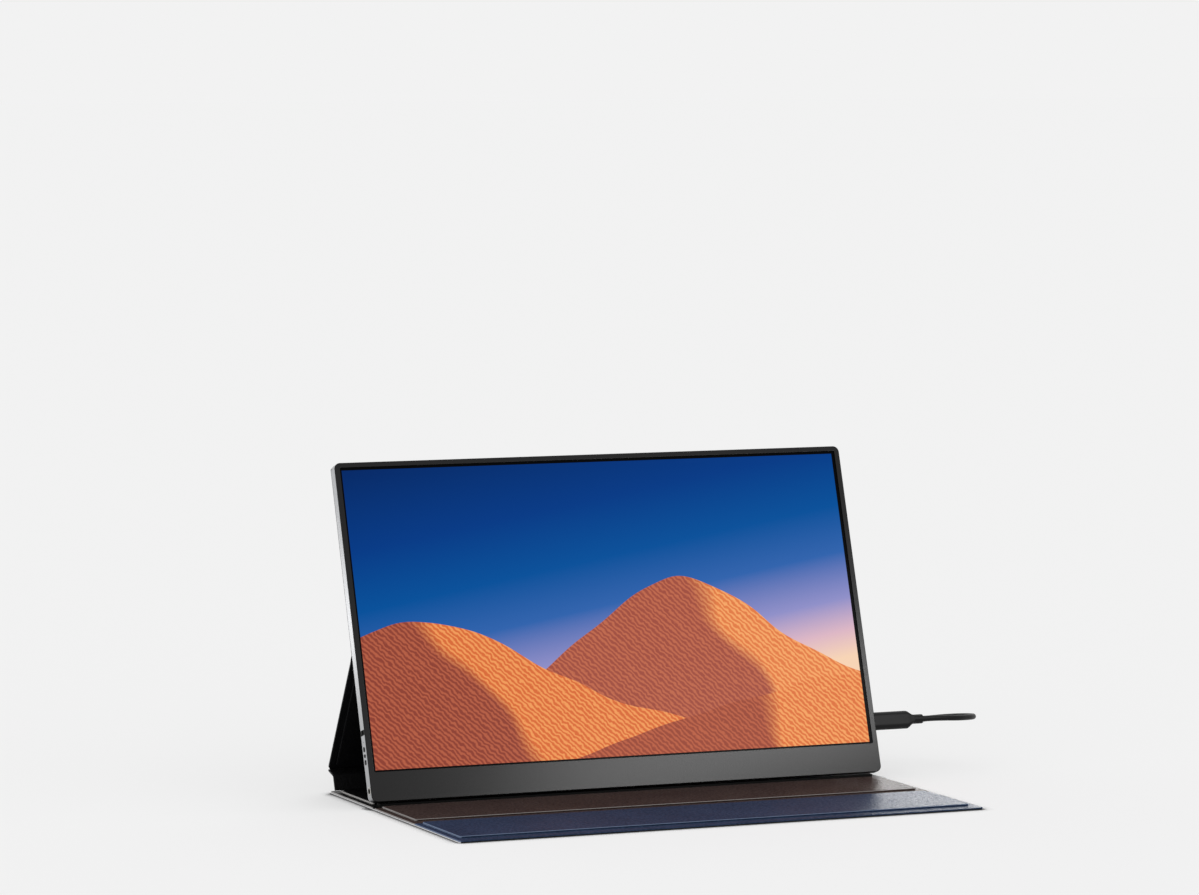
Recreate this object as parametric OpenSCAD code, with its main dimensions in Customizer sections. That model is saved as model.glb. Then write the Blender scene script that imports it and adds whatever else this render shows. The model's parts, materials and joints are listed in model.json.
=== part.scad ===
// Portable monitor with a folio cover.
// Millimetres, Z up. The origin is on the table, under the middle of the monitor and its cover.
// The screen faces -Y and leans back. Lengths "up the monitor" run along its leaning face.

/* [Screen] */
// Width of the picture
picture_w = 344.2; // [300:0.1:380]
// Height of the picture
picture_h = 193.6; // [170:0.1:215]
// Black edge of the glass that shows round the picture
mask_w = 1.5; // [0.8:0.1:3]
// Bezel from the picture to the side edge
bezel_side = 5; // [3.8:0.1:8]
// Bezel from the picture to the top edge
bezel_top = 4.6; // [4:0.1:8]
// Bezel from the picture to the bottom edge
bezel_bottom = 20.4; // [20:0.1:26]

/* [Monitor body] */
// Thickness of the closed monitor body
body_t = 7.3; // [7:0.1:9]
// Thickness of the front bezel plate
bezel_t = 0.6; // [0.5:0.1:1]
// Thickness of the shell's side walls
wall_t = 1.2; // [1:0.1:1.5]
// Thickness of the shell's back
floor_t = 1; // [0.8:0.1:1.5]
// Radius of the body's outer corners
corner_r = 4; // [2:0.5:5]
// Height of the chamfer along the lower back edge
chamfer_h = 2.5; // [1.5:0.1:3]
// Depth of the chamfer along the lower back edge
chamfer_d = 2.7; // [1.5:0.1:3]

/* [Display panel] */
// Thickness of the liquid crystal cell
cell_t = 0.9; // [0.7:0.1:1.1]
// Thickness of the stack of optical films
films_t = 0.3; // [0.2:0.1:0.4]
// Thickness of the light guide
guide_t = 0.6; // [0.4:0.1:0.8]
// Thickness of the reflector sheet
reflector_t = 0.1; // [0.1:0.05:0.2]
// Thickness of the steel tray behind the panel
tray_t = 0.4; // [0.3:0.1:0.5]

/* [Ports and controls] */
// Height of the headphone socket up the monitor
jack_h = 7.6; // [7:0.1:9]
// Radius of the headphone socket's bore
jack_r = 1.75; // [1.7:0.05:1.8]
// Depth of the headphone socket's bore
jack_depth = 14; // [12:0.5:16]
// Height of the lower button up the monitor
lower_button_h = 26; // [24:0.1:28]
// Distance from one button to the next
button_pitch = 4.15; // [4.1:0.05:5]
// Length of the two long buttons
button_l = 3.2; // [2.6:0.1:3.4]
// Width of the buttons
button_w = 1.8; // [1.4:0.1:2]
// How far the buttons go in
button_travel = 0.4; // [0.3:0.1:0.6]
// Height of the status light up the monitor
light_h = 38.9; // [38.4:0.1:40.5]
// Height of the dial up the monitor
dial_h = 44.8; // [44:0.1:47]
// Radius of the dial
dial_r = 2.2; // [2:0.1:2.3]
// Thickness of the dial
dial_t = 2.4; // [2:0.1:2.6]
// Height of the power port up the monitor
power_port_h = 34; // [32:0.5:36]
// Distance from one port to the next
port_pitch = 16; // [14:0.5:18]

/* [Stand] */
// Lean of the screen, back from upright
screen_lean = 18; // [17:0.5:18]
// Lean of the stand's leg, from upright
leg_lean = 30; // [29:0.5:31]
// Height of the top fold up the monitor
top_fold_h = 95.7; // [94:0.1:97]
// Length of the leg from the top fold
leg_l = 88.75; // [87.5:0.05:89.5]
// Length of the tail and spine strips together, to the straight line between their outer folds
strip_slack = 1.131; // [1.08:0.001:1.3]
// How much longer the spine strip is than the tail strip
spine_more = 0.4; // [0:0.1:1]
// Thickness of the tail and spine strips
strip_t = 1.2; // [1:0.1:1.4]

/* [Cover] */
// How far the cover's side edges stand inside the monitor's sides
cover_inset = 0.9; // [0:0.1:4]
// Length of the rear flap, under the monitor
rear_l = 80; // [79:0.5:81]
// Length of the middle flap
mid_l = 66; // [60:0.5:70]
// Length of the front flap
front_l = 80; // [70:0.5:84]
// Thickness of each leather layer
leather_t = 0.7; // [0.6:0.05:0.8]
// Thickness of the stiff boards
board_t = 1.1; // [0.9:0.05:1.2]
// Leather left flat beside the boards
hem_w = 5; // [4:0.5:7]
// Flat leather between the boards and the front edge
front_hem_w = 11.5; // [8:0.5:14]
// Flat leather from each board to the fold between the middle and front flaps
valley_w = 6; // [4:0.5:8]
// Width of the groove that the screen stands in
groove_w = 15.5; // [15:0.5:18]
// Flat leather from the middle board to the fold by the groove
shore_w = 1.5; // [1:0.5:3]
// Distance from the groove's fold to the foot of the screen's face
foot_gap = 1; // [1:0.1:1.5]
// Height of the foot of the screen's face
foot_h = 5; // [4.9:0.05:5.3]
// From the spine's fold to the rear edge of the cover
lip_l = 8.2; // [8:0.1:8.6]
// Thickness of the adhesive sheet behind the monitor
adhesive_t = 0.3; // [0.3:0.05:0.5]

/* [Cable] */
// Diameter of the cable
cable_d = 3.8; // [3.6:0.1:4]
// Length of the plug's moulded body
plug_l = 29.4; // [27:0.1:31]
// Height of the plug's moulded body
plug_w = 11.8; // [11:0.1:12.4]
// Thickness of the plug's moulded body
plug_t = 6.5; // [6:0.1:7]
// Length of the strain relief
relief_l = 6.8; // [6:0.1:9]
// Diameter across the middle of the coil's turns
coil_d = 42; // [40:1:44]
// Turns that lie side by side in the coil
coil_turns = 3; // [3:1:3]
// Layers in the coil
coil_layers = 2; // [2:1:2]

/* [Hidden] */
$fn = 48;

// Clearances
running = 0.05;      // between a part that turns or slides and its seat
fold_gap = 0.3;      // from a panel's end to its fold
clear = 0.3;         // between panels that close on each other
seat = 0.1;          // between a port and the hole it looks out of

// Monitor body
body_w = picture_w + 2 * bezel_side;
body_h = picture_h + bezel_top + bezel_bottom;
half_w = body_w / 2;
wall_x = half_w - wall_t;
floor_d = body_t - floor_t;
window_r = 1;
cover_w = body_w - 2 * cover_inset;

// The panel's layers, as depths behind the bezel's face
cell_margin = mask_w + 1.3;
films_margin = 0.9;
cell_d = bezel_t;
films_d = cell_d + cell_t;
guide_d = films_d + films_t;
reflector_d = guide_d + guide_t;
tray_d = reflector_d + reflector_t;
behind_d = tray_d + tray_t;
cell_low = bezel_bottom - cell_margin;
films_low = bezel_bottom - films_margin;
films_w = picture_w + 2 * films_margin;
films_h = picture_h + 2 * films_margin;
strip_h = 1.2;
strip_base = 0.4;
tray_below = 0.6;
tray_low = films_low - strip_h - tray_below;

// Boards and ports, behind the panel
pcb_t = 0.8;
board_end_gap = 0.4;
main_w = 85.5;
main_x = wall_x - board_end_gap - main_w;
main_low = 23;
main_h = 78;
usb_w = 8.94;
usb_t = 3.2;
usb_l = 7.4;
usb_wall = 0.3;
usb_cavity_l = 7;
tongue_w = 6.4;
tongue_t = 0.6;
tongue_l = 5;
video_w = 11.2;
video_t = 3.2;
port_d = behind_d + 0.1 + usb_t / 2;
data_port_h = power_port_h + port_pitch;
video_port_h = data_port_h + port_pitch;
control_d = behind_d + button_w / 2 + 0.4;
power_button_h = lower_button_h + button_pitch;
upper_button_h = power_button_h + button_pitch;
button_proud = 0.3;
flange = 0.4;
flange_t = 0.5;
switch_t = 0.5;
light_r = 0.55;
dial_proud = 0.7;
dial_d = floor_d - dial_r - 0.1;
axle_r = 0.5;
bracket_t = 0.8;
bracket_wall = 0.8;
bracket_d = behind_d + 0.1;
bracket_low = dial_h - dial_t / 2 - clear - bracket_t;
bracket_h = dial_t + 2 * clear + 2 * bracket_t;
dial_x = -half_w - dial_proud + dial_r;
bracket_x = dial_x - axle_r - 0.3;
bracket_w = axle_r + 0.3 + dial_r + clear + bracket_wall;
jack_ring_r = 2.75;
jack_d = (bezel_t + floor_d) / 2;
jack_body_w = 5;

// Stand: folds in the plane across the hinges, as [y, z] from the groove's fold
panel_t = 2 * leather_t + board_t;
hem_t = 2 * leather_t;
foot_y = foot_gap;
function up_monitor(h, d) = [
    foot_y + h * sin(screen_lean) + d * cos(screen_lean),
    foot_h + h * cos(screen_lean) - d * sin(screen_lean)
];
top_fold = up_monitor(top_fold_h, body_t + adhesive_t + panel_t);
leg_way = [sin(leg_lean), -cos(leg_lean)];
leg_in = [-cos(leg_lean), -sin(leg_lean)];
strip_gap = 0.8;
leg_reach = leg_l + strip_gap;
tail_fold = top_fold + leg_reach * leg_way + (panel_t - strip_t / 2) * leg_in;
lay_gap = 0.3;
spine_foot = [rear_l - lip_l, panel_t + strip_t / 2 + lay_gap];
link = spine_foot - tail_fold;
link_l = norm(link);
tail_l = (link_l * strip_slack - spine_more) / 2;
spine_l = tail_l + spine_more;
link_along = (tail_l * tail_l - spine_l * spine_l + link_l * link_l) / (2 * link_l);
link_aside = sqrt(tail_l * tail_l - link_along * link_along);
link_way = link / link_l;
strip_fold = tail_fold + link_along * link_way + link_aside * [link_way.y, -link_way.x];
// turns about X that lay a strip drawn downwards along its real direction
tail_turn = atan2(strip_fold.x - tail_fold.x, tail_fold.y - strip_fold.y);
spine_turn = atan2(spine_foot.x - strip_fold.x, strip_fold.y - spine_foot.y);
rear_reach = top_fold.x + leg_l * sin(leg_lean);
front_reach = mid_l + front_l;
origin_y = (front_reach - rear_reach) / 2;

// Cable, plugs and coil
plug_axis = up_monitor(power_port_h, port_d);
plug_gap = 0.2;
plug_start = half_w + plug_gap;
plug_shoulder = 5.2;
relief_r = 3.05;
shell_w = 8.25;
shell_t = 2.4;
shell_l = 6.65;
shell_wall = 0.35;
cable_sides = 8;
coil_x = 100;
coil_y = 146;
coil_in = coil_d / 2 - coil_turns * cable_d / 2;
coil_out = coil_d / 2 + coil_turns * cable_d / 2;
coil_h = coil_layers * cable_d;
tie_t = 0.8;
tie_w = 8;
far_plug_at = [29.8, 171, plug_t / 2];
// The cable's route from the strain relief to the coil
route = [
    [213.5, 46.6, 35.9], [222, 46.6, 35.9], [231, 47, 35.6], [240, 48.5, 35],
    [248, 52, 34.4], [255, 57, 33.8], [260, 64, 33], [262.5, 73, 32],
    [261, 82, 31], [256, 90, 30], [249, 97, 28.8], [240, 103, 27.3],
    [230, 108, 25.6], [219, 112.5, 23.6], [208, 117, 21.3], [197, 122, 18.6],
    [186, 128, 15.6], [175, 134.5, 12.4], [165, 141, 9.4], [155, 148, 6.6],
    [145, 155, 4.4], [135.5, 162, 3.2], [125.5, 167.8, 2.7], [112, 170.8, 2.7]
];
// The cable's end from the coil to the far plug
far_route = [[88, 170.9, 6.1], [78, 171, 5.3], [72, 171, 4.1], [66, 171, 3.25]];

// Frames of reference ------------------------------------------------------

// Places what is drawn from the groove's fold
module from_fold() {
    translate([0, origin_y, 0]) children();
}

// Stands up what is drawn with X across, Y into the monitor and Z up its face
module in_monitor() {
    from_fold() translate([0, foot_y, foot_h]) rotate([-screen_lean, 0, 0]) children();
}

// Turns what is drawn hanging down from a fold about X
module hang_from(fold, turn) {
    from_fold() translate([0, fold.x, fold.y]) rotate([turn, 0, 0]) children();
}

// Shapes -------------------------------------------------------------------

// Flat rectangle with round corners, centred on X, from y = 0 upwards
module round_plate(w, h, r) {
    translate([-w / 2 + r, 0]) square([w - 2 * r, h]);
    translate([-w / 2, r]) square([w, h - 2 * r]);
    for (x = [-w / 2 + r, w / 2 - r], y = [r, h - r])
        translate([x, y]) circle(r = r);
}

// A sheet across the monitor: w wide, from low up to low + h, from depth d back by t
module sheet(w, low, h, d, t, r = 0.5) {
    translate([0, d + t, low]) rotate([90, 0, 0]) linear_extrude(t) round_plate(w, h, r);
}

// Rounded bar along X, l long from x = 0, w up the monitor and t deep
module side_bar(l, w, t) {
    rotate([90, 0, 90]) linear_extrude(l) {
        translate([-t / 2, -(w - t) / 2]) square([t, w - t]);
        for (s = [-1, 1]) translate([0, s * (w - t) / 2]) circle(d = t);
    }
}

// Small box with its corner given
module block(x, d, h, w, t, l) {
    translate([x, d, h]) cube([w, t, l]);
}

// Monitor body --------------------------------------------------------------

// Hole through the left or right wall for a bar-shaped port or button
module wall_slot(side, d, h, w, t) {
    translate([side > 0 ? wall_x - 1 : -half_w - 1, d, h]) side_bar(wall_t + 2, w, t);
}

speaker_side = 45.1;   // from the middle of a speaker to the monitor's side
speaker_x = half_w - speaker_side;
speaker_w = 46;
speaker_low = 2.2;
speaker_h = 12;
speaker_t = 4.2;
grille_slots = 6;
grille_pitch = 4;
grille_w = 1.2;
grille_l = 6;
rib_x = 60;
rib_t = 2;
rib_low = top_fold_h + 14;
rib_h = 90;
speaker_gap = 3;       // from the driver board to the right speaker
driver_left = -70;
driver_w = speaker_x - speaker_w / 2 - speaker_gap - driver_left;
driver_low = 5;
driver_h = 10;
ribbon_x = main_x + 2;
ribbon_w = 12;
ribbon_t = 0.2;
rail_inset = 10;
rail_gap = 16;         // from the rail to the display cable
rail_w = ribbon_x - rail_gap - driver_left - rail_inset;
rail_h = 2;
chamfer_cut = 12;
backing_t = 1.8;
backing_h = 0.8;

module rear_shell() {
    color("silver") in_monitor() difference() {
        union() {
            difference() {
                sheet(body_w, 0, body_h, bezel_t, body_t - bezel_t, corner_r);
                sheet(body_w - 2 * wall_t, wall_t, body_h - 2 * wall_t, bezel_t - 1,
                    floor_d - bezel_t + 1, corner_r - wall_t);
            }
            // ribs that carry the panel tray
            for (x = [-rib_x, rib_x])
                block(x - rib_t / 2, behind_d, rib_low, rib_t, floor_d - behind_d, rib_h);
            // rail that carries the driver board
            block(driver_left + rail_inset, behind_d + pcb_t, driver_low + rail_h, rail_w,
                floor_d - behind_d - pcb_t, rail_h);
            // solid backing for the chamfer
            block(-wall_x, floor_d - backing_t, wall_t - 0.2, 2 * wall_x, backing_t, backing_h);
        }
        // chamfer along the lower back edge
        translate([-half_w - 1, body_t - chamfer_d, 0])
            rotate([atan2(chamfer_h, chamfer_d), 0, 0])
                translate([0, -chamfer_cut / 4, -chamfer_cut / 2])
                    cube([body_w + 2, chamfer_cut, chamfer_cut / 2]);
        // right side: three ports
        wall_slot(1, port_d, power_port_h, usb_w + 2 * seat, usb_t + 2 * seat);
        wall_slot(1, port_d, data_port_h, usb_w + 2 * seat, usb_t + 2 * seat);
        wall_slot(1, port_d, video_port_h, video_w + 2 * seat, video_t + 2 * seat);
        // left side: headphone socket, buttons, status light and dial
        translate([-half_w - 1, jack_d, jack_h])
            rotate([0, 90, 0]) cylinder(r = jack_ring_r + running, h = wall_t + 2);
        for (h = [lower_button_h, upper_button_h])
            wall_slot(-1, control_d, h, button_l + 2 * running, button_w + 2 * running);
        translate([-half_w - 1, control_d, power_button_h])
            rotate([0, 90, 0]) cylinder(d = button_w + 0.4 + 2 * running, h = wall_t + 2);
        translate([-half_w - 1, control_d, light_h])
            rotate([0, 90, 0]) cylinder(r = light_r + running, h = wall_t + 2);
        block(-half_w - 1, dial_d - dial_r - clear / 2, dial_h - dial_t / 2 - clear,
            wall_t + 2, 2 * dial_r + clear / 2, dial_t + 2 * clear);
        // pocket in the wall that the dial's bracket is seated in
        block(bracket_x - running, bracket_d - running, bracket_low - running,
            bracket_w + 2 * running, floor_d - bracket_d + running, bracket_h + 2 * running);
        // sound slots over the speakers
        for (s = [-1, 1], i = [0 : grille_slots - 1])
            translate([s * speaker_x + (i - (grille_slots - 1) / 2) * grille_pitch,
                    floor_d - 0.5, speaker_low + (speaker_h - grille_l) / 2 + 1])
                cube([grille_w, floor_t + 1, grille_l]);
    }
}

module front_bezel() {
    color([0.22, 0.21, 0.22]) in_monitor() difference() {
        sheet(body_w, 0, body_h, 0, bezel_t, corner_r);
        sheet(picture_w + 2 * mask_w, bezel_bottom - mask_w, picture_h + 2 * mask_w,
            -1, bezel_t + 2, window_r);
    }
}

module lcd_cell() {
    color([0.03, 0.12, 0.4]) in_monitor()
        sheet(picture_w + 2 * cell_margin, cell_low, picture_h + 2 * cell_margin, cell_d, cell_t);
}

module optical_films() {
    color("white") in_monitor() sheet(films_w, films_low, films_h, films_d, films_t);
}

module light_guide() {
    color([0.85, 0.92, 0.95, 0.6]) in_monitor()
        sheet(films_w, films_low, films_h, guide_d, guide_t);
}

// Bar of white lamps along the light guide's lower edge
module led_strip() {
    lamp_pitch = 32;
    lamp_w = 4;
    lamps = floor(films_w / lamp_pitch);
    color("khaki") in_monitor() {
        block(-films_w / 2, films_d, films_low - strip_h, films_w, tray_d - films_d, strip_base);
        for (i = [0 : lamps - 1])
            block((i + 0.5 - lamps / 2) * lamp_pitch - lamp_w / 2, guide_d,
                films_low - strip_h + strip_base, lamp_w, guide_t, strip_h - strip_base);
    }
}

module reflector_sheet() {
    color("whitesmoke") in_monitor() sheet(films_w, films_low, films_h, reflector_d, reflector_t);
}

// Holes of the board's screws, as [x, height]
board_screw_spots = [
    [main_x + 6, main_low + 32], [main_x + 6, main_low + main_h - 6],
    [half_w - 18, main_low + main_h - 6], [half_w - 18, main_low + 19]
];
screw_r = 0.7;
screw_head_r = 1.3;
screw_head_t = 0.6;

module panel_tray() {
    color("gainsboro") in_monitor() difference() {
        sheet(films_w, tray_low, films_low + films_h - tray_low, tray_d, tray_t);
        for (s = board_screw_spots)
            translate([s.x, tray_d - 1, s.y]) rotate([-90, 0, 0])
                cylinder(r = screw_r + running, h = tray_t + 2);
    }
}

module main_board() {
    port_space = 0.2;
    color("darkgreen") in_monitor() difference() {
        block(main_x, behind_d, main_low, wall_x - board_end_gap - main_x, pcb_t, main_h);
        for (p = [[power_port_h, usb_w], [data_port_h, usb_w], [video_port_h, video_w]])
            block(half_w - usb_l - port_space, behind_d - 1, p.x - p.y / 2 - port_space,
                usb_l + 2, pcb_t + 2, p.y + 2 * port_space);
        for (s = board_screw_spots)
            translate([s.x, behind_d - 1, s.y]) rotate([-90, 0, 0])
                cylinder(r = screw_r + running, h = pcb_t + 2);
    }
}

// Chips on the main board, as [x, height, width, thickness, length] from the board's corner
chips = [
    [22, 40, 16, 1.1, 16], [46, 46, 9, 0.9, 9],
    [24, 16, 8, 1.4, 8], [44, 14, 10, 2.2, 6]
];

module board_chips() {
    color([0.12, 0.12, 0.12]) in_monitor() for (c = chips)
        block(main_x + c[0], behind_d + pcb_t, main_low + c[1], c[2], c[3], c[4]);
}

module board_screws() {
    color("gray") in_monitor() for (s = board_screw_spots)
        translate([s.x, behind_d + pcb_t, s.y]) rotate([-90, 0, 0]) {
            cylinder(r = screw_head_r, h = screw_head_t);
            translate([0, 0, -pcb_t - tray_t + 0.05])
                cylinder(r = screw_r, h = pcb_t + tray_t - 0.05);
        }
}

// Long narrow board under the panel that drives its rows and columns
module driver_board() {
    color("darkgreen") in_monitor()
        block(driver_left, behind_d, driver_low, driver_w, pcb_t, driver_h);
}

// Flat cable from the main board down to the driver board
module display_cable() {
    ribbon_lap = 2;
    ribbon_reach = 6;
    color("peru") in_monitor()
        block(ribbon_x, behind_d + pcb_t, driver_low + ribbon_lap, ribbon_w, ribbon_t,
            main_low - driver_low + ribbon_reach);
}

// Socket with a tongue in the middle of its cavity
module slim_port(h, w, t) {
    color("gray") in_monitor() translate([half_w - usb_l, port_d, h]) {
        difference() {
            side_bar(usb_l, w, t);
            translate([usb_l - usb_cavity_l, 0, 0])
                side_bar(usb_cavity_l + 1, w - 2 * usb_wall, t - 2 * usb_wall);
        }
        translate([usb_l - usb_cavity_l - 0.1, -tongue_t / 2, -tongue_w / 2])
            cube([tongue_l + 0.1, tongue_t, tongue_w]);
    }
}

module power_port() { slim_port(power_port_h, usb_w, usb_t); }

module data_port() { slim_port(data_port_h, usb_w, usb_t); }

module video_port() { slim_port(video_port_h, video_w, video_t); }

module headphone_jack() {
    jack_back = 1.5;
    color([0.1, 0.1, 0.1]) in_monitor() translate([-half_w, jack_d, jack_h]) difference() {
        union() {
            rotate([0, 90, 0]) cylinder(r = jack_ring_r, h = wall_t + 1);
            translate([wall_t, -jack_body_w / 2, -jack_body_w / 2])
                cube([jack_depth + jack_back - wall_t, jack_body_w, jack_body_w]);
        }
        translate([-1, 0, 0]) rotate([0, 90, 0]) cylinder(r = jack_r, h = jack_depth + 1);
    }
}

// Where the flange of a button rests, and the board that its switch stands on
flange_x = -wall_x + running;
switch_x = flange_x + flange_t + button_travel + running;
button_board_x = switch_x + switch_t;
button_board_low = lower_button_h - 4;
button_board_h = light_h + 1.5 - button_board_low;
switch_w = 1.4;
switch_l = 2;

module button_board() {
    color("darkgreen") in_monitor() {
        block(button_board_x, control_d - 1, button_board_low, pcb_t,
            floor_d - control_d + 1, button_board_h);
        for (h = [lower_button_h, power_button_h, upper_button_h])
            block(switch_x, control_d - switch_w / 2, h - switch_l / 2,
                switch_t + 0.1, switch_w, switch_l);
    }
}

// Long button with a flange behind the wall
module long_button(h) {
    color([0.08, 0.08, 0.08]) in_monitor() {
        translate([-half_w - button_proud, control_d, h])
            side_bar(half_w + button_proud + flange_x + 0.1, button_l, button_w);
        translate([flange_x, control_d, h])
            side_bar(flange_t, button_l + flange, button_w + flange);
    }
}

module menu_up_button() { long_button(upper_button_h); }

module menu_down_button() { long_button(lower_button_h); }

module power_button() {
    color([0.08, 0.08, 0.08]) in_monitor() translate([0, control_d, power_button_h]) {
        translate([-half_w - button_proud, 0, 0]) rotate([0, 90, 0])
            cylinder(d = button_w + 0.4, h = half_w + button_proud + flange_x + 0.1);
        translate([flange_x, 0, 0]) rotate([0, 90, 0])
            cylinder(d = button_w + 0.4 + flange, h = flange_t);
    }
}

module status_light() {
    color("azure") in_monitor() translate([-half_w, control_d, light_h])
        rotate([0, 90, 0]) cylinder(r = light_r, h = half_w + button_board_x);
}

dial_grooves = 14;

module dial_wheel() {
    color([0.1, 0.1, 0.1]) in_monitor() translate([dial_x, dial_d, dial_h - dial_t / 2]) difference() {
        cylinder(r = dial_r, h = dial_t);
        translate([0, 0, -1]) cylinder(r = axle_r + running, h = dial_t + 2);
        for (i = [0 : dial_grooves - 1]) rotate(i * 360 / dial_grooves)
            translate([dial_r + 0.05, 0, -1]) cylinder(r = 0.18, h = dial_t + 2, $fn = 16);
    }
}

module dial_axle() {
    color("silver") in_monitor()
        translate([dial_x, dial_d, bracket_low]) cylinder(r = axle_r, h = bracket_h);
}

// Two arms that hold the axle's ends, joined behind the dial
module dial_bracket() {
    color([0.15, 0.15, 0.15]) in_monitor() difference() {
        block(bracket_x, bracket_d, bracket_low, bracket_w, floor_d - bracket_d, bracket_h);
        block(bracket_x - 1, bracket_d - 1, bracket_low + bracket_t,
            bracket_w + 1 - bracket_wall, floor_d - bracket_d + 2, bracket_h - 2 * bracket_t);
        translate([dial_x, dial_d, bracket_low - 1]) cylinder(r = axle_r + 0.01, h = bracket_h + 2);
    }
}

module speaker(side) {
    cone_r = 4.5;
    color([0.13, 0.13, 0.13]) in_monitor() difference() {
        block(side * speaker_x - speaker_w / 2, floor_d - speaker_t, speaker_low,
            speaker_w, speaker_t, speaker_h);
        for (x = [-speaker_w / 2 + 8, 0, speaker_w / 2 - 8])
            translate([side * speaker_x + x, floor_d - speaker_t - 1, speaker_low + speaker_h / 2])
                rotate([-90, 0, 0]) cylinder(r = cone_r, h = 1.6);
    }
}

module speaker_left() { speaker(-1); }

module speaker_right() { speaker(1); }

magnet_x = 80;
magnet_l = 24;

// Bars inside the monitor's top edge that hold the closed cover
module monitor_magnets() {
    magnet_t = 1.4;
    color("dimgray") in_monitor() for (s = [-1, 1])
        block(s * magnet_x - magnet_l / 2, floor_d - 3, body_h - wall_t - magnet_t, magnet_l, 3, magnet_t);
}

// Cover -----------------------------------------------------------------------

edge_r = 1.5;

// Outer leather of a panel: flat on XY, centred on X, from y0 to y1
module panel_leather(y0, y1) {
    translate([0, y0, 0]) linear_extrude(leather_t) round_plate(cover_w, y1 - y0, edge_r);
}

// Board of a panel, set in by its hems
module panel_board(y0, y1) {
    translate([0, y0, leather_t]) linear_extrude(board_t)
        round_plate(cover_w - 2 * hem_w, y1 - y0, edge_r);
}

// Inner leather: flat on the outer leather, and raised over the board from b0 to b1
module panel_lining(y0, y1, b0, b1) {
    difference() {
        union() {
            translate([0, y0, leather_t]) linear_extrude(leather_t)
                round_plate(cover_w, y1 - y0, edge_r);
            translate([0, b0 - leather_t, leather_t]) linear_extrude(leather_t + board_t)
                round_plate(cover_w - 2 * hem_w + 2 * leather_t, b1 - b0 + 2 * leather_t,
                    edge_r + leather_t);
        }
        translate([0, 0, -1]) translate([0, b0, leather_t]) linear_extrude(board_t + 1)
            round_plate(cover_w - 2 * hem_w, b1 - b0, edge_r);
    }
}

leather_color = [0.07, 0.07, 0.08];
lining_color = [0.08, 0.08, 0.09];
front_color = [0.15, 0.18, 0.25];
board_color = [0.62, 0.52, 0.4];

// Back panel, stuck to the monitor above the top fold; drawn with its raised side to the screen
back_low = top_fold_h + fold_gap;
back_high = body_h - 1;
module on_back() {
    in_monitor() translate([0, body_t + adhesive_t + panel_t, 0]) rotate([90, 0, 0]) children();
}

module adhesive_sheet() {
    inset = 3;
    color("ivory") in_monitor() sheet(cover_w - 2 * hem_w - 2 * inset, back_low + hem_w + inset,
        back_high - back_low - 2 * hem_w - 2 * inset, body_t, adhesive_t, 2);
}

module back_panel_leather() {
    color(leather_color) on_back() panel_leather(back_low, back_high);
}

module back_panel_board() {
    color(board_color) on_back() panel_board(back_low + hem_w, back_high - hem_w);
}

module back_panel_lining() {
    color(lining_color) on_back()
        panel_lining(back_low, back_high, back_low + hem_w, back_high - hem_w);
}

// The leg hangs from the top fold, with its raised side to the monitor
module on_leg() {
    hang_from(top_fold, leg_lean) rotate([90, 0, 0]) children();
}

module leg_leather() {
    color(leather_color) on_leg() panel_leather(-leg_l, -fold_gap);
}

module leg_board() {
    color(board_color) on_leg() panel_board(-leg_l + hem_w / 2, -fold_gap - hem_w);
}

module leg_lining() {
    color(lining_color) on_leg()
        panel_lining(-leg_l, -fold_gap, -leg_l + hem_w / 2, -fold_gap - hem_w);
}

// Leather strips that fold in under the leg and down to the rear flap
strip_end = 0.5;
foot_end = 0.1;

module strip(length, start, end) {
    translate([-cover_w / 2, -strip_t / 2, -length + end])
        cube([cover_w, strip_t, length - start - end]);
}

module tail_strip() {
    color(leather_color) hang_from(tail_fold, tail_turn) strip(tail_l, strip_gap, strip_end);
}

module spine_strip() {
    color(leather_color) hang_from(strip_fold, spine_turn) strip(spine_l, strip_end, foot_end);
}

// Rear flap: from the groove's fold back to the lip
module rear_flap_leather() {
    color(leather_color) from_fold() panel_leather(fold_gap, rear_l);
}

module rear_flap_board() {
    color(board_color) from_fold() panel_board(groove_w, rear_l - hem_w);
}

module rear_flap_lining() {
    color(lining_color) from_fold() panel_lining(fold_gap, rear_l, groove_w, rear_l - hem_w);
}

// Soft strip in the groove that the monitor's lower edge stands on
grip_w = 8;
grip_start = 2;
monitor_low = foot_h - (body_t - chamfer_d) * sin(screen_lean);
module grip_strip() {
    color([0.1, 0.1, 0.1]) from_fold() translate([0, grip_start, hem_t])
        linear_extrude(monitor_low - clear - hem_t)
            round_plate(cover_w - 2 * hem_w, grip_w, edge_r);
}

// Middle flap, in front of the groove's fold
module mid_flap_leather() {
    color(leather_color) from_fold() panel_leather(-mid_l + fold_gap, -fold_gap);
}

module mid_flap_board() {
    color(board_color) from_fold() panel_board(-mid_l + valley_w, -shore_w);
}

module mid_flap_lining() {
    color(lining_color) from_fold()
        panel_lining(-mid_l + fold_gap, -fold_gap, -mid_l + valley_w, -shore_w);
}

// Front flap, from the valley to the front edge
module front_flap_leather() {
    color(leather_color) from_fold() panel_leather(-front_reach, -mid_l - fold_gap);
}

cover_magnet_w = 6;
cover_magnet_y = -front_reach + front_hem_w + 2;
module cover_magnet_bars(space) {
    for (s = [-1, 1])
        translate([s * magnet_x - magnet_l / 2 - space, cover_magnet_y - space, leather_t - space])
            cube([magnet_l + 2 * space, cover_magnet_w + 2 * space, board_t + 2 * space]);
}

module front_flap_board() {
    color(board_color) from_fold() difference() {
        panel_board(-front_reach + front_hem_w, -mid_l - valley_w);
        cover_magnet_bars(running);
    }
}

module front_flap_lining() {
    color(front_color) from_fold()
        panel_lining(-front_reach, -mid_l - fold_gap, -front_reach + front_hem_w, -mid_l - valley_w);
}

module cover_magnets() {
    color("dimgray") from_fold() cover_magnet_bars(0);
}

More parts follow.
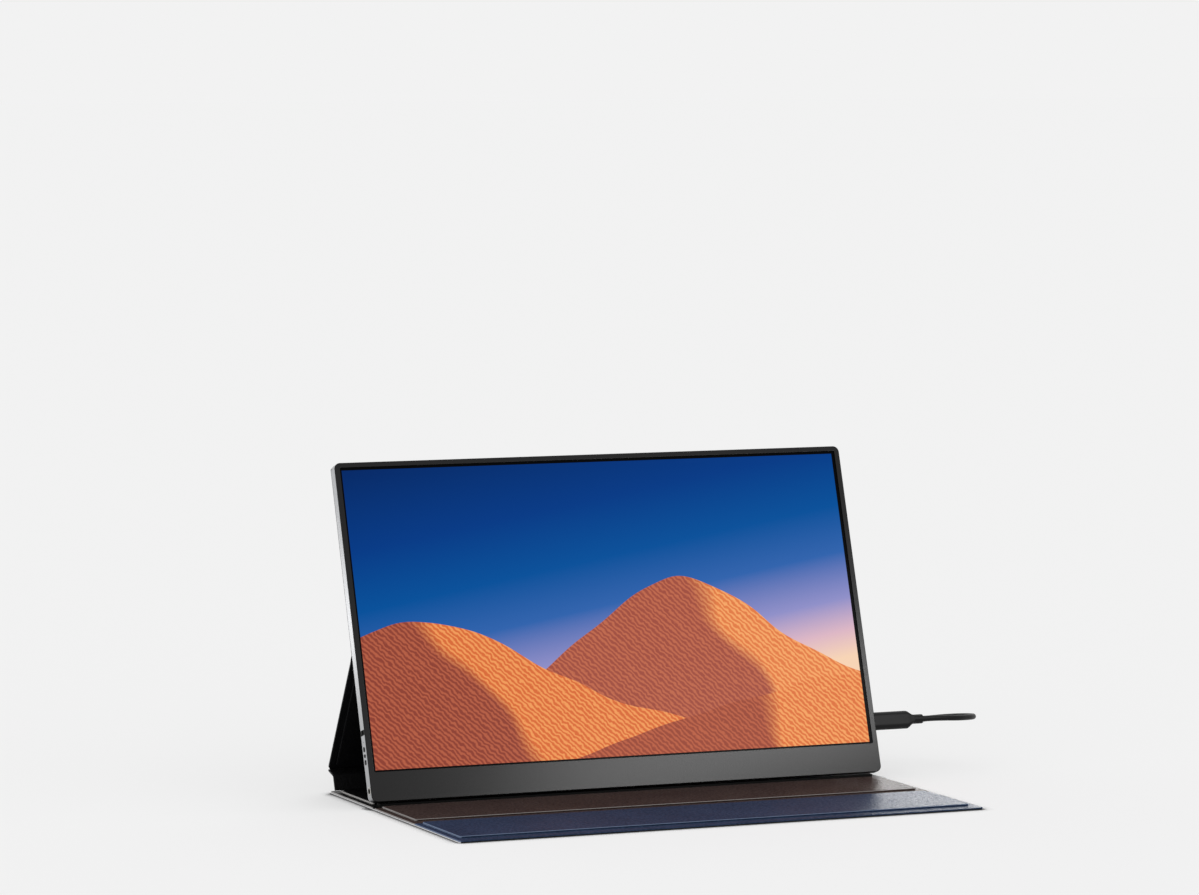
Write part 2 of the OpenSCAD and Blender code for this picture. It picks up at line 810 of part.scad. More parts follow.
// Cable -----------------------------------------------------------------------

// Plug drawn along +X from its moulded face, at the origin
module plug_metal() {
    color("silver") difference() {
        translate([-shell_l, 0, 0]) side_bar(shell_l, shell_w, shell_t);
        translate([-shell_l - 1, 0, 0])
            side_bar(shell_l, shell_w - 2 * shell_wall, shell_t - 2 * shell_wall);
    }
}

module plug_mould() {
    color([0.12, 0.12, 0.13]) {
        side_bar(plug_l - plug_shoulder, plug_w, plug_t);
        hull() {
            translate([plug_l - plug_shoulder, 0, 0]) side_bar(0.01, plug_w, plug_t, $fn = 32);
            translate([plug_l - 0.01, 0, 0]) rotate([0, 90, 0])
                cylinder(r = relief_r, h = 0.01, $fn = 32);
        }
    }
}

// Collar that the cable leaves the moulding through, with its end rounded off
module plug_relief() {
    round = 0.6;
    color([0.1, 0.1, 0.11]) translate([plug_l, 0, 0]) rotate([0, 90, 0]) {
        cylinder(r1 = relief_r, r2 = relief_r - 0.1, h = relief_l - round);
        translate([0, 0, relief_l - round])
            cylinder(r1 = relief_r - 0.1, r2 = relief_r - round, h = round);
    }
}

// In the power port, on the monitor's right side
module in_port() {
    from_fold() translate([plug_start, plug_axis.x, plug_axis.y])
        rotate([-screen_lean, 0, 0]) children();
}

module plug_shell() { in_port() plug_metal(); }

module plug_body() { in_port() plug_mould(); }

module strain_relief() { in_port() plug_relief(); }

// On the table behind the stand, with its flat side down
module on_table() {
    translate(far_plug_at) rotate([90, 0, 0]) children();
}

module far_plug_shell() { on_table() plug_metal(); }

module far_plug_body() { on_table() plug_mould(); }

module far_strain_relief() { on_table() plug_relief(); }

// Tube swept along points, with a ring square to the path at each of them
function unit(v) = v / norm(v);
function heading(p, i) = unit(p[min(i + 1, len(p) - 1)] - p[max(i - 1, 0)]);
function ring(p, i, r) = let(
    t = heading(p, i),
    side = unit(cross([0, 0, 1], t)),
    rise = cross(t, side)
) [for (k = [0 : cable_sides - 1]) let(a = (k + 0.5) * 360 / cable_sides)
    p[i] + r * (cos(a) * side + sin(a) * rise)];
module tube(p, r) {
    n = cable_sides;
    last = len(p) - 1;
    polyhedron(
        points = [for (i = [0 : last]) each ring(p, i, r)],
        faces = concat(
            [[for (k = [0 : n - 1]) k]],
            [for (i = [0 : last - 1], k = [0 : n - 1])
                [i * n + k, (i + 1) * n + k, (i + 1) * n + (k + 1) % n, i * n + (k + 1) % n]],
            [[for (k = [n - 1 : -1 : 0]) last * n + k]]
        )
    );
}

module cable() {
    color([0.1, 0.1, 0.11]) {
        tube(route, cable_d / 2);
        tube(far_route, cable_d / 2);
    }
}

module cable_coil() {
    color([0.1, 0.1, 0.11]) translate([coil_x, coil_y, tie_t]) rotate_extrude()
        translate([coil_in, 0]) square([coil_out - coil_in, coil_h]);
}

// Strap round one side of the coil, which lies on the strap's thickness
module cable_tie() {
    inner = sqrt(coil_in * coil_in - tie_w * tie_w / 4) - running;
    width = coil_out + running - inner;
    color([0.16, 0.16, 0.17]) translate([coil_x - tie_w / 2, coil_y - coil_out - running, 0])
        difference() {
            translate([0, -tie_t, 0]) cube([tie_w, width + 2 * tie_t, coil_h + 2 * tie_t + running]);
            translate([-1, 0, tie_t]) cube([tie_w + 2, width, coil_h + running]);
        }
}

rear_shell();
front_bezel();
lcd_cell();
optical_films();
light_guide();
led_strip();
reflector_sheet();
panel_tray();
main_board();
board_chips();
board_screws();
driver_board();
display_cable();
power_port();
data_port();
video_port();
headphone_jack();
button_board();
menu_up_button();
power_button();
menu_down_button();
dial_wheel();
dial_axle();
dial_bracket();
status_light();
speaker_left();
speaker_right();
monitor_magnets();
adhesive_sheet();
back_panel_leather();
back_panel_board();
back_panel_lining();
leg_leather();
leg_board();
leg_lining();
tail_strip();
spine_strip();
rear_flap_leather();
rear_flap_board();
rear_flap_lining();
grip_strip();
mid_flap_leather();
mid_flap_board();
mid_flap_lining();
front_flap_leather();
front_flap_board();
front_flap_lining();
cover_magnets();
plug_shell();
plug_body();
strain_relief();
cable();
cable_coil();
cable_tie();
far_strain_relief();
far_plug_body();
far_plug_shell();
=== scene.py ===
# %% [markdown]
# # A portable monitor on its folio cover
#
# The CAD model of the monitor, its folding cover and its cable is loaded first and stays the
# measure of everything. Each cell then dresses one part of it: first the camera and the cable,
# then the finishes, then the pieces that need rounder and softer shapes than plain solids have.
# Every length is written in millimetres and turned to metres with `MM`.

# %% Load the frame
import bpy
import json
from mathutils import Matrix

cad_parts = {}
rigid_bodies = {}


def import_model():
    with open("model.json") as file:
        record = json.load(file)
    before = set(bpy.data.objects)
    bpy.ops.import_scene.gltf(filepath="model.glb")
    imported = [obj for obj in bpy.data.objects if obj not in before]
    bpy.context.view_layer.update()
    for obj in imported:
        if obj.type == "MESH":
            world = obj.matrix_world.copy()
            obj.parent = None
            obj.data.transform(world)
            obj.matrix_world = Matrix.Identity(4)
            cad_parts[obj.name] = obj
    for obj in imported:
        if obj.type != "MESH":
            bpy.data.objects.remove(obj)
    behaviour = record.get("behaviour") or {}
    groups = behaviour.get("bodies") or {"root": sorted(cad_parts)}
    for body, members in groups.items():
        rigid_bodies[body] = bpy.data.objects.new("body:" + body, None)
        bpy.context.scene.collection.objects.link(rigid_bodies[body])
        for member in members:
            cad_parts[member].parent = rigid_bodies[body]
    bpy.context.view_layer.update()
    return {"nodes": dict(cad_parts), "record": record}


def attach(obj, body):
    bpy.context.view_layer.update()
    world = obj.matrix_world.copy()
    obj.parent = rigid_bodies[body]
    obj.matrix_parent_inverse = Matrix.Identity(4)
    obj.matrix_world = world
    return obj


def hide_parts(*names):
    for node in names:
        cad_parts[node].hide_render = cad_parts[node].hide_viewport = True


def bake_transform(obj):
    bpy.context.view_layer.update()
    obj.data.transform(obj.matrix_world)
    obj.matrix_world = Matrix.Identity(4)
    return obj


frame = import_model()

import json
import math
import bmesh
import bpy
from mathutils import Matrix, Vector

MM = 0.001

# %% [markdown]
# ## The two places where things are drawn
#
# The cover lies flat on the table, so its flaps are drawn straight in the frame. The monitor leans
# back by 18 degrees, which makes it awkward to model in place. It is easier to model its parts
# upright, with X across, Y into the body and Z up the screen, and to tip them back at the end.

# %% The leaning monitor's own axes
LEAN = math.radians(18)
BODY_H, BODY_T = 218.6, 7.3
FOLD = 30.7232                              # the groove that the monitor stands in, along Y
ON_MONITOR = (Matrix.Translation((0, FOLD * MM + 1 * MM, 5 * MM))
              @ Matrix.Rotation(-LEAN, 4, "X"))
print("top of the monitor's back:", ON_MONITOR @ (Vector((0, BODY_T, BODY_H)) * MM))

# %% [markdown]
# ## The camera
#
# A long lens from far away keeps the monitor's sides almost parallel. The camera stands a little
# to the left and a little above the middle, and is turned level, so upright edges stay upright.

# %% Camera
towards_camera = Vector((-0.3889, -0.9179, 0.0791))
bpy.ops.object.camera_add(location=(-1.32685, -3.04621, 0.48819),
                          rotation=(-towards_camera).to_track_quat("-Z", "Y").to_euler())
camera = bpy.context.object
camera.data.lens, camera.data.sensor_width = 158.83, 36
bpy.context.scene.camera = camera
print("camera", round(camera.location.length, 2), "m from the middle of the cover")

# %% [markdown]
# ## The cable
#
# A cable is a fixed length of something that bends evenly, so it is drawn as one smooth curve that
# runs through chosen points, with a round section given to the curve itself. It leaves the plug
# straight, sinks to the table in one loose bend round the back, and the rest is wound up as it was
# in its packing: three turns on the table and two on top of them. A turn steps inwards or
# outwards by one cable thickness within 40 degrees, and climbs just before it steps outwards, so
# that no turn passes through another.

# %% Points along the cable
ROUTE = [(213.5, 46.6, 35.9), (222, 46.6, 35.9), (231, 47, 35.6), (240, 48.5, 35),
         (248, 52, 34.4), (255, 57, 33.8), (260, 64, 33), (262.5, 73, 32),
         (261, 82, 31), (256, 90, 30), (249, 97, 28.8), (240, 103, 27.3),
         (230, 108, 25.6), (219, 112.5, 23.6), (208, 117, 21.3), (197, 122, 18.6),
         (186, 128, 15.6), (175, 134.5, 12.4), (165, 141, 9.4), (155, 148, 6.6),
         (145, 155, 4.4), (135.5, 162, 3.2), (125.5, 167.8, 2.7), (112, 170.8, 2.7)]
FAR_ROUTE = [(88, 170.9, 6.1), (78, 171, 5.3), (72, 171, 4.1), (66, 171, 3.25)]
CABLE_D = 3.8
COIL_AT, COIL_R = (100, 146), 24.8
COIL_Z = 2.7                                # middle of the low turns: the strap goes under them
TURNS, EVERY = 5, 15                        # whole turns, and degrees from point to point
STEPS_IN, CLIMB = ((290, 330), (650, 690)), (960, 1010)
STEPS_OUT = ((1280, 1320), (1640, 1680))    # all in degrees turned since the entry


def eased(value, start, end):
    """0 before start, 1 after end, and a smooth step between."""
    t = min(1, max(0, (value - start) / (end - start)))
    return t * t * (3 - 2 * t)


def coil_point(turned):
    """A point of the coil, in mm, after it has turned by that many degrees from its entry."""
    angle = math.radians(90 + turned)
    inwards = sum(eased(turned, *step) for step in STEPS_IN)
    outwards = sum(eased(turned, *step) for step in STEPS_OUT)
    radius = COIL_R - CABLE_D * inwards + CABLE_D * outwards
    return (COIL_AT[0] + radius * math.cos(angle), COIL_AT[1] + radius * math.sin(angle),
            COIL_Z + CABLE_D * eased(turned, *CLIMB))


coil = [coil_point(turned) for turned in range(0, 360 * TURNS + 1, EVERY)]
cable_points = [Vector(p) * MM for p in ROUTE + coil + FAR_ROUTE]
print(len(cable_points), "points,", len(coil), "of them in the coil")

# %% The cable as a curve with a round section
bpy.ops.curve.primitive_bezier_curve_add()
cable = bpy.context.object
cable.name = "cable_whole"
spline = cable.data.splines[0]
spline.bezier_points.add(len(cable_points) - 2)
for knot, knot_at in zip(spline.bezier_points, cable_points):
    knot.co, knot.handle_left_type, knot.handle_right_type = knot_at, "AUTO", "AUTO"
cable.data.bevel_depth = CABLE_D / 2 * MM
cable.data.bevel_resolution, cable.data.resolution_u = 5, 6
cable.data.use_fill_caps = True
bpy.context.view_layer.update()

# %% [markdown]
# ## How a finish is written
#
# Every finish is a small network of shader nodes. Two helpers keep them short: `linear` turns a
# colour written as on a paint card (sRGB hex) into the linear numbers that Blender computes with,
# and `add` puts a node into a material, sets it and links it. `finish` starts a material for one
# real substance and gives back a point on the piece in millimetres, so that each pattern can be
# scaled by a size that can be measured on the real thing.

# %% Helpers for finishes
def linear(hexa):
    """The linear colour of a hex colour such as "1d1b1c"."""
    parts = [int(hexa[i:i + 2], 16) / 255 for i in (0, 2, 4)]
    return [p / 12.92 if p <= 0.04045 else ((p + 0.055) / 1.055) ** 2.4 for p in parts] + [1]


def add(material, kind, inputs=(), stops=(), **settings):
    """Adds a shader node: settings are its properties, inputs its sockets, set or linked."""
    made = material.node_tree.nodes.new("ShaderNode" + kind)
    for name, value in settings.items():
        setattr(made, name, value)
    for name, value in dict(inputs).items():
        if isinstance(value, bpy.types.NodeSocket):
            material.node_tree.links.new(value, made.inputs[name])
        else:
            made.inputs[name].default_value = value
    for i, (position, hexa) in enumerate(stops):
        ramp = made.color_ramp.elements
        stop = ramp[i] if i < 2 else ramp.new(position)
        stop.position, stop.color = position, linear(hexa)
    return made


FINISHES = {}


def finish(name, metallic=0.0, ior=1.5, **sockets):
    """Starts a material and gives it, its shader and the point on the piece in millimetres."""
    material = bpy.data.materials.new(name)
    material.use_nodes = True
    FINISHES[name] = material
    shader = material.node_tree.nodes["Principled BSDF"]
    shader.inputs["Metallic"].default_value = metallic
    shader.inputs["IOR"].default_value = ior
    for socket, value in sockets.items():
        shader.inputs[socket.replace("_", " ")].default_value = value
    point = add(material, "TexCoord").outputs["Object"]
    in_mm = add(material, "VectorMath", {0: point, 1: (1000, 1000, 1000)}, operation="MULTIPLY")
    return material, shader, in_mm.outputs[0]


print("a middle grey, 808080, is", round(linear("808080")[0], 3), "in linear light")

# %% [markdown]
# Most finishes differ only in their colours, their gloss and the size of their grain, so one
# recipe serves them: a noise of the grain's size picks between two close colours and two close
# degrees of gloss, and raises a fine relief.

# %% Recipe for an even grain
def grained(name, dark, light, grain, roughness, bump=0.0, metallic=0.0, ior=1.5, **sockets):
    """A finish with an even grain: two close colours, a spread of roughness and a fine relief."""
    material, shader, point = finish(name, metallic, ior, **sockets)
    noise = add(material, "TexNoise",
                {"Vector": point, "Scale": 1 / grain, "Detail": 3.0}).outputs["Fac"]
    tint = add(material, "ValToRGB", {"Fac": noise}, stops=[(0.3, dark), (0.7, light)])
    rough = add(material, "MapRange", {"Value": noise, "From Min": 0.3, "From Max": 0.7,
                                       "To Min": roughness[0], "To Max": roughness[1]})
    links = material.node_tree.links
    links.new(tint.outputs["Color"], shader.inputs["Base Color"])
    links.new(rough.outputs["Result"], shader.inputs["Roughness"])
    if bump:
        relief = add(material, "Bump", {"Height": noise, "Distance": bump * MM})
        links.new(relief.outputs["Normal"], shader.inputs["Normal"])
    print(name, "with a grain of", grain, "mm")


# %% [markdown]
# ## Plastics, metals and boards
#
# These are the plain finishes: moulded, plated, painted or rolled, each with the grain its making
# leaves. Each line gives two colours, the grain in millimetres, the range of roughness and, where
# it can be felt, the relief in millimetres. Blasting, spark erosion and satin paint leave grains of
# a tenth of a millimetre or less, which are drawn two to four times as coarse, so that they show.
# A plastic reflects about 4% straight on (IOR 1.5) and a metal takes its colour from its
# reflection, so a metal keeps the default IOR.

# %% Finishes of the body and its small parts
# anodised aluminium, bead blasted: a fine even sparkle
grained("blasted_aluminium", "a5a6a8", "adaeb0", 0.25, (0.26, 0.34), 0.004, metallic=1.0)
# ABS with a satin paint, nearly black: a broad gloss that stays dark where no lamp shows in it
grained("satin_abs", "121112", "161515", 0.35, (0.27, 0.32), 0.002, Specular_IOR_Level=0.22)
# black anodised buttons: deeper than the bezel, so they read as dark marks on the bright side
grained("black_anodised", "040404", "070707", 0.2, (0.38, 0.48), 0.003, Specular_IOR_Level=0.12)
# the dial is black too, and its knurls are polished by the thumb
grained("knurled_black", "040404", "070707", 0.12, (0.25, 0.35), 0.003, Specular_IOR_Level=0.10)
# nickel-plated steel of sockets and plugs: bright with faint clouding
grained("nickel_plate", "b3b1ac", "c4c2bd", 1.2, (0.14, 0.24), metallic=1.0)
# glass-filled nylon inside a socket: matt, with the glass just felt
grained("black_nylon", "101011", "161617", 0.4, (0.45, 0.55), 0.005, ior=1.53)
# clear acrylic of the light pipe, lit faintly from behind
grained("light_pipe", "757b80", "82888d", 0.6, (0.12, 0.18), ior=1.49, Transmission_Weight=0.3)

# %% Finishes inside the body
# rolled steel of the tray behind the panel: cloudy, half bright
grained("rolled_steel", "8f9193", "9ea0a2", 2.5, (0.30, 0.42), metallic=1.0)
# solder mask over glass fibre: a glossy green varnish that shows the weave below
grained("solder_mask", "0d3b22", "134a2b", 1.5, (0.30, 0.40), 0.006, ior=1.55)
# epoxy moulding of the chips: matt black
grained("chip_epoxy", "151516", "1c1c1d", 0.3, (0.50, 0.62), 0.004, ior=1.55)
# polyimide film of the flat cable: amber and slick
grained("polyimide_film", "8a5a1e", "96652a", 3.0, (0.25, 0.35), ior=1.65)
# polyester of the films and the reflector: white and silky
grained("optical_film", "dfe2e4", "e6e9eb", 4.0, (0.40, 0.50), ior=1.6)
# clear acrylic light guide, with its polished edges
grained("light_guide_acrylic", "d3dfe2", "dbe6e9", 5.0, (0.08, 0.14), ior=1.49,
        Transmission_Weight=0.6)
# phosphor of the lamp strip: a dull yellow powder
grained("lamp_phosphor", "d9d08a", "e3dc9f", 0.5, (0.45, 0.55), 0.004)
# polypropylene frame of the speakers, moulded matt
grained("speaker_plastic", "181819", "1e1e1f", 0.5, (0.45, 0.55), 0.006, ior=1.49)
# sintered magnet with its nickel coat: darker than polished nickel
grained("magnet_coat", "77787a", "848587", 0.4, (0.25, 0.35), metallic=1.0)
# acrylic foam tape: cream and dull
grained("foam_tape", "d8d4c4", "e2dece", 0.5, (0.75, 0.85), 0.01)

# %% Finishes of the cover's boards and of the cable
# grey board pressed from fibres
grained("fibre_board", "8d7a60", "a08c70", 0.8, (0.80, 0.90), 0.02)
# thermoplastic rubber of the grip: black, with hardly any shine
grained("grip_rubber", "060606", "0a0a0a", 0.3, (0.62, 0.72), 0.01, ior=1.52,
        Specular_IOR_Level=0.1)
# PVC moulded on the plug, spark-eroded to a fine matt
grained("moulded_pvc", "0c0c0d", "111112", 0.3, (0.42, 0.52), 0.006, ior=1.53,
        Specular_IOR_Level=0.14)
# extruded PVC of the cable's jacket: smoother, with faint waves
grained("cable_pvc", "080809", "0c0c0d", 0.8, (0.38, 0.46), 0.006, ior=1.53,
        Specular_IOR_Level=0.14)
# hook-and-loop strap of nylon: furry, so it has a little sheen
grained("strap_nylon", "1a1a1c", "2a2a2d", 0.35, (0.80, 0.95), 0.05, Sheen_Weight=0.3)
print(len(FINISHES), "plain finishes")

# %% [markdown]
# ## Leather
#
# The cover is bonded leather with a pebbled grain. Its look comes from four things: pebbles with
# shade painted into the creases between them, which cells with soft edges give; a slow change of
# tone where it has been handled; a coat that is glossier on top of the pebbles than between them;
# and a pale line painted along the hems and over the edges of the boards as a highlight, where
# those edges catch the light. The direction of a face, read in the piece's own axes, tells such an
# edge from the flat leather.
# Real pebbles are half a millimetre across. They are drawn three times as coarse, so that they
# show.

# %% Recipe for pebbled leather
PEBBLE, PORE, HANDLED = 1.7, 0.4, 35        # mm from one pebble, pore or handled patch to the next


def edge_highlight_mask(material, ridges):
    """How much highlight is painted on a face: 1 on side edges and, with ridges, on every edge that
    stands up.
    """
    facing = add(material, "TexCoord").outputs["Normal"]
    facing = add(material, "VectorMath", {0: facing}, operation="ABSOLUTE").outputs[0]
    axes = add(material, "SeparateXYZ", {0: facing}).outputs
    edge = axes["X"]
    if ridges:
        ridge = add(material, "Math", {0: axes["Y"], 1: axes["Z"]}, operation="MINIMUM")
        edge = add(material, "Math", {0: edge, 1: ridge.outputs[0]}, operation="MAXIMUM").outputs[0]
    return add(material, "MapRange", {"Value": edge, "From Min": 0.3, "From Max": 0.65}).outputs[0]


def leather(name, dark, light, gloss, relief_mm, edge_highlight=None, ridges=False, **sockets):
    """Pebbled leather, with an optional pale colour painted on its edges as a highlight."""
    material, shader, point = finish(name, **sockets)
    cells = add(material, "TexVoronoi", {"Vector": point, "Scale": 1 / PEBBLE, "Randomness": 0.9},
                feature="SMOOTH_F1").outputs["Distance"]
    fine = add(material, "TexNoise",
               {"Vector": point, "Scale": 1 / PORE, "Detail": 2.0}).outputs["Fac"]
    clouds = add(material, "TexNoise", {"Vector": point, "Scale": 1 / HANDLED, "Detail": 2.0})
    tint = add(material, "ValToRGB", {"Fac": clouds.outputs["Fac"]},
               stops=[(0.3, dark), (0.7, light)]).outputs["Color"]
    # painted shade: the colour darkens into the creases between the pebbles and is lighter on their
    # tops
    crease_shade = add(material, "MapRange", {"Value": cells, "From Min": 0.15, "From Max": 0.65,
                                        "To Min": 1.12, "To Max": 0.72}).outputs[0]
    colour = add(material, "VectorMath", {0: tint, "Scale": crease_shade}, operation="SCALE").outputs[0]
    grain = add(material, "Math", {0: fine, 1: 0.3, 2: cells}, operation="MULTIPLY_ADD").outputs[0]
    relief = add(material, "Bump", {"Height": grain, "Distance": relief_mm * MM}, invert=True)
    rough = add(material, "MapRange", {"Value": grain, "From Min": 0.2, "From Max": 0.8,
                                       "To Min": gloss, "To Max": gloss + 0.15}).outputs[0]
    # the pale edge colour is a painted highlight, mixed in on side edges and on the edges of the
    # boards
    if edge_highlight:
        highlight_share = edge_highlight_mask(material, ridges)
        colour = add(material, "Mix", {"Factor": highlight_share, 6: colour, 7: linear(edge_highlight)},
                     data_type="RGBA").outputs[2]
    links = material.node_tree.links
    links.new(colour, shader.inputs["Base Color"])
    links.new(rough, shader.inputs["Roughness"])
    links.new(relief.outputs["Normal"], shader.inputs["Normal"])
    print(name, "with a relief of", relief_mm, "mm")


# %% Leather finishes
# outside of the panel, the leg and the strips: black, with no highlight painted on its edges
leather("outer_leather", "0b0b0c", "121213", 0.36, 0.25, Specular_IOR_Level=0.15)
# outside of the three flaps on the table, with a pale highlight painted along its hems
leather("base_leather", "0b0b0c", "121213", 0.36, 0.25, edge_highlight="dcdcde", Specular_IOR_Level=0.15)
# lining inside the stand
leather("inner_leather", "0d0d0e", "131315", 0.34, 0.25, Specular_IOR_Level=0.06)
# lining of the rear flap: the same, with a grey highlight painted where the board raises it
leather("rear_leather", "0d0d0e", "131315", 0.34, 0.25, edge_highlight="b4b2b0", ridges=True,
        Specular_IOR_Level=0.06)
# lining of the middle flap: a brownish black that paints in the screen's orange glow reflected on
# it, with a highlight painted on its board edges
leather("warm_leather", "3d3230", "443936", 0.28, 0.30, edge_highlight="9c9896", ridges=True,
        Specular_IOR_Level=0.004)
# lining of the front flap: a navy that paints in a bluish sheen, with a slightly oilier gloss and a
# highlight painted on its board edges
leather("navy_leather", "2c3950", "313f58", 0.26, 0.22, edge_highlight="7886a0", ridges=True,
        Specular_IOR_Level=0.0042)
print("leather pebbles are drawn", PEBBLE, "mm across")

# %% [markdown]
# ## The picture on the screen
#
# The display is lit from behind, so its picture is light that the glass gives off, and hardly
# depends on the room. It is drawn here from scratch: a dusk sky over rolling dunes. A Mapping node
# of the Texture kind undoes the monitor's lean, which turns every point of the glass into
# millimetres across and up. Two fractions, from 0 to 1 over the picture's width and height, then
# serve to place what it shows. The sky is one ramp of colours, tilted so that the glow of dusk
# sits low on the right.

# %% Dusk sky
PICTURE_HALF_W, PICTURE_LOW, PICTURE_HIGH = 172.1, 20.4, 214.0
SKY_TILT = -0.30

picture, glass, _ = finish("lit_picture", ior=1.5, Roughness=0.35, Specular_IOR_Level=0.03)
point = add(picture, "TexCoord").outputs["Object"]
on_glass = add(picture, "Mapping", {
    "Vector": point, "Location": ON_MONITOR.translation, "Rotation": (-LEAN, 0, 0),
    "Scale": (MM, MM, MM)}, vector_type="TEXTURE").outputs[0]
glass_axes = add(picture, "SeparateXYZ", {0: on_glass}).outputs
across = add(picture, "MapRange", {"Value": glass_axes["X"], "From Min": -PICTURE_HALF_W,
                                   "From Max": PICTURE_HALF_W}).outputs[0]
up = add(picture, "MapRange", {"Value": glass_axes["Z"], "From Min": PICTURE_LOW,
                               "From Max": PICTURE_HIGH}).outputs[0]
tilt = add(picture, "Math", {0: across, 1: SKY_TILT, 2: up}, operation="MULTIPLY_ADD").outputs[0]
dusk = add(picture, "ValToRGB", {"Fac": tilt}, stops=[
    (0.0, "f6d3b4"), (0.09, "dcb6c4"), (0.20, "8f8fc8"), (0.36, "2f63ad"), (0.52, "00509a"),
    (0.72, "003a86"), (1.0, "002866")]).outputs["Color"]
print("the picture is", 2 * PICTURE_HALF_W, "x", round(PICTURE_HIGH - PICTURE_LOW, 1), "mm")

# %% [markdown]
# Each dune is a bell-shaped curve over the picture's width, bent a little by a slow noise, and
# what lies under its curve is sand. A second curve runs down from the crest and parts the shaded
# side from the lit one. Bands of wind ripples, two millimetres apart, cross both. The dunes are
# laid over the sky from the farthest to the nearest.

# %% Dunes
BELL = 0.3679                               # e to the power -1: what is left of a bell at its width
SHARP = 700.0                               # how quickly sand takes over at the outline
DUNES = (                                   # middle, width, foot, height, place of the crest
    (0.64, 0.27, 0.10, 0.44, 0.70, ("a04f40", "c06a4e"), ("e27c46", "f6a868")),
    (0.10, 0.34, 0.02, 0.40, 0.16, ("8e4234", "b55f45"), ("d96c3a", "f19d5c")),
    (0.95, 0.45, -0.10, 0.26, 0.80, ("9a4a38", "bb6246"), ("de7440", "f4a463")),
)

drift = add(picture, "TexNoise",
            {"Vector": on_glass, "Scale": 0.012, "Detail": 1.0}).outputs["Fac"]
ripples = add(picture, "TexWave", {
    "Vector": on_glass, "Scale": 0.16, "Distortion": 5.0, "Detail": 3.0, "Detail Scale": 1.5},
    bands_direction="DIAGONAL").outputs["Fac"]
view = dusk
for middle, width, foot, height, crest_at, shade, light in DUNES:
    off = add(picture, "Math", {0: across, 1: middle}, operation="SUBTRACT").outputs[0]
    wide = add(picture, "Math", {0: off, 1: width}, operation="DIVIDE").outputs[0]
    square = add(picture, "Math", {0: wide, 1: wide}, operation="MULTIPLY").outputs[0]
    hill = add(picture, "Math", {0: BELL, 1: square}, operation="POWER").outputs[0]
    ridge = add(picture, "Math", {0: hill, 1: height, 2: foot}, operation="MULTIPLY_ADD")
    crest = add(picture, "Math", {0: drift, 1: 0.12, 2: ridge.outputs[0]},
                operation="MULTIPLY_ADD").outputs[0]
    under = add(picture, "Math", {0: crest, 1: up}, operation="SUBTRACT").outputs[0]
    sand = add(picture, "Math", {0: under, 1: SHARP}, operation="MULTIPLY",
               use_clamp=True).outputs[0]
    # the crest runs down the dune as a curve, which parts the shaded side from the lit one
    bow = add(picture, "Math", {0: under, 1: -0.45, 2: across}, operation="MULTIPLY_ADD").outputs[0]
    curl = add(picture, "Math", {0: drift, 1: 0.35, 2: bow}, operation="MULTIPLY_ADD").outputs[0]
    side = add(picture, "MapRange", {"Value": curl, "From Min": crest_at + 0.12,
                                     "From Max": crest_at + 0.16}).outputs[0]
    dark, lit = [add(picture, "ValToRGB", {"Fac": ripples},
                     stops=[(0.25, tones[0]), (0.85, tones[1])]).outputs["Color"]
                 for tones in (shade, light)]
    dune = add(picture, "Mix", {"Factor": side, 6: dark, 7: lit}, data_type="RGBA").outputs[2]
    view = add(picture, "Mix", {"Factor": sand, 6: view, 7: dune}, data_type="RGBA").outputs[2]
print(len(DUNES), "dunes over", len(picture.node_tree.nodes), "nodes")

# %% [markdown]
# The glass is larger than the picture: its edge is black, because nothing lights it there. Three
# tests find the lit field, half a millimetre left of the glass's middle, and outside of it the
# picture gives way to black.

# %% Black edge of the glass
LIT_HALF_W, LIT_LOW, LIT_HIGH, LIT_SHIFT = 171.9, 20.1, 213.6, 0.5

shifted = add(picture, "Math", {0: glass_axes["X"], 1: LIT_SHIFT}, operation="ADD").outputs[0]
sideways = add(picture, "Math", {0: shifted}, operation="ABSOLUTE").outputs[0]
tests = [add(picture, "Math", {0: value, 1: limit}, operation=kind).outputs[0]
         for value, kind, limit in ((sideways, "LESS_THAN", LIT_HALF_W),
                                    (glass_axes["Z"], "GREATER_THAN", LIT_LOW),
                                    (glass_axes["Z"], "LESS_THAN", LIT_HIGH))]
inside = add(picture, "Math", {0: tests[1], 1: tests[2]}, operation="MULTIPLY").outputs[0]
inside = add(picture, "Math", {0: inside, 1: tests[0]}, operation="MULTIPLY").outputs[0]
glow = add(picture, "Mix", {"Factor": inside, 6: (0, 0, 0, 1), 7: view}, data_type="RGBA")
picture.node_tree.links.new(glow.outputs[2], glass.inputs["Emission Color"])
glass.inputs["Base Color"].default_value = linear("020203")
glass.inputs["Emission Strength"].default_value = 1.0
print("the lit field is", 2 * LIT_HALF_W, "mm wide")

# %% [markdown]
# ## Tools for modelling by hand, in code
#
# In the window a modeller clicks on the faces that the next tool should change. Here `pick` does
# the clicking: it looks at the middle and the direction of every face, edge or corner and selects
# those that pass a test. `edit` opens edit mode on one piece, and `leave` goes back to object mode.

# %% Selecting
SELECT_MODES = {"faces": "FACE", "edges": "EDGE", "verts": "VERT"}


def only(piece):
    """Leaves just this piece selected and active."""
    bpy.ops.object.select_all(action="DESELECT")
    piece.select_set(True)
    bpy.context.view_layer.objects.active = piece


def edit(piece):
    """Opens edit mode on this piece alone."""
    only(piece)
    bpy.ops.object.mode_set(mode="EDIT")


def leave():
    """Goes back to object mode, which writes the edited mesh."""
    bpy.ops.object.mode_set(mode="OBJECT")


def middle_and_way(part, kind):
    """The middle of a face, edge or vert in metres, and its normal or, for an edge, its way."""
    if kind == "verts":
        return part.co, part.normal
    if kind == "edges":
        start, end = (v.co for v in part.verts)
        return (start + end) / 2, (end - start).normalized()
    return part.calc_center_median(), part.normal


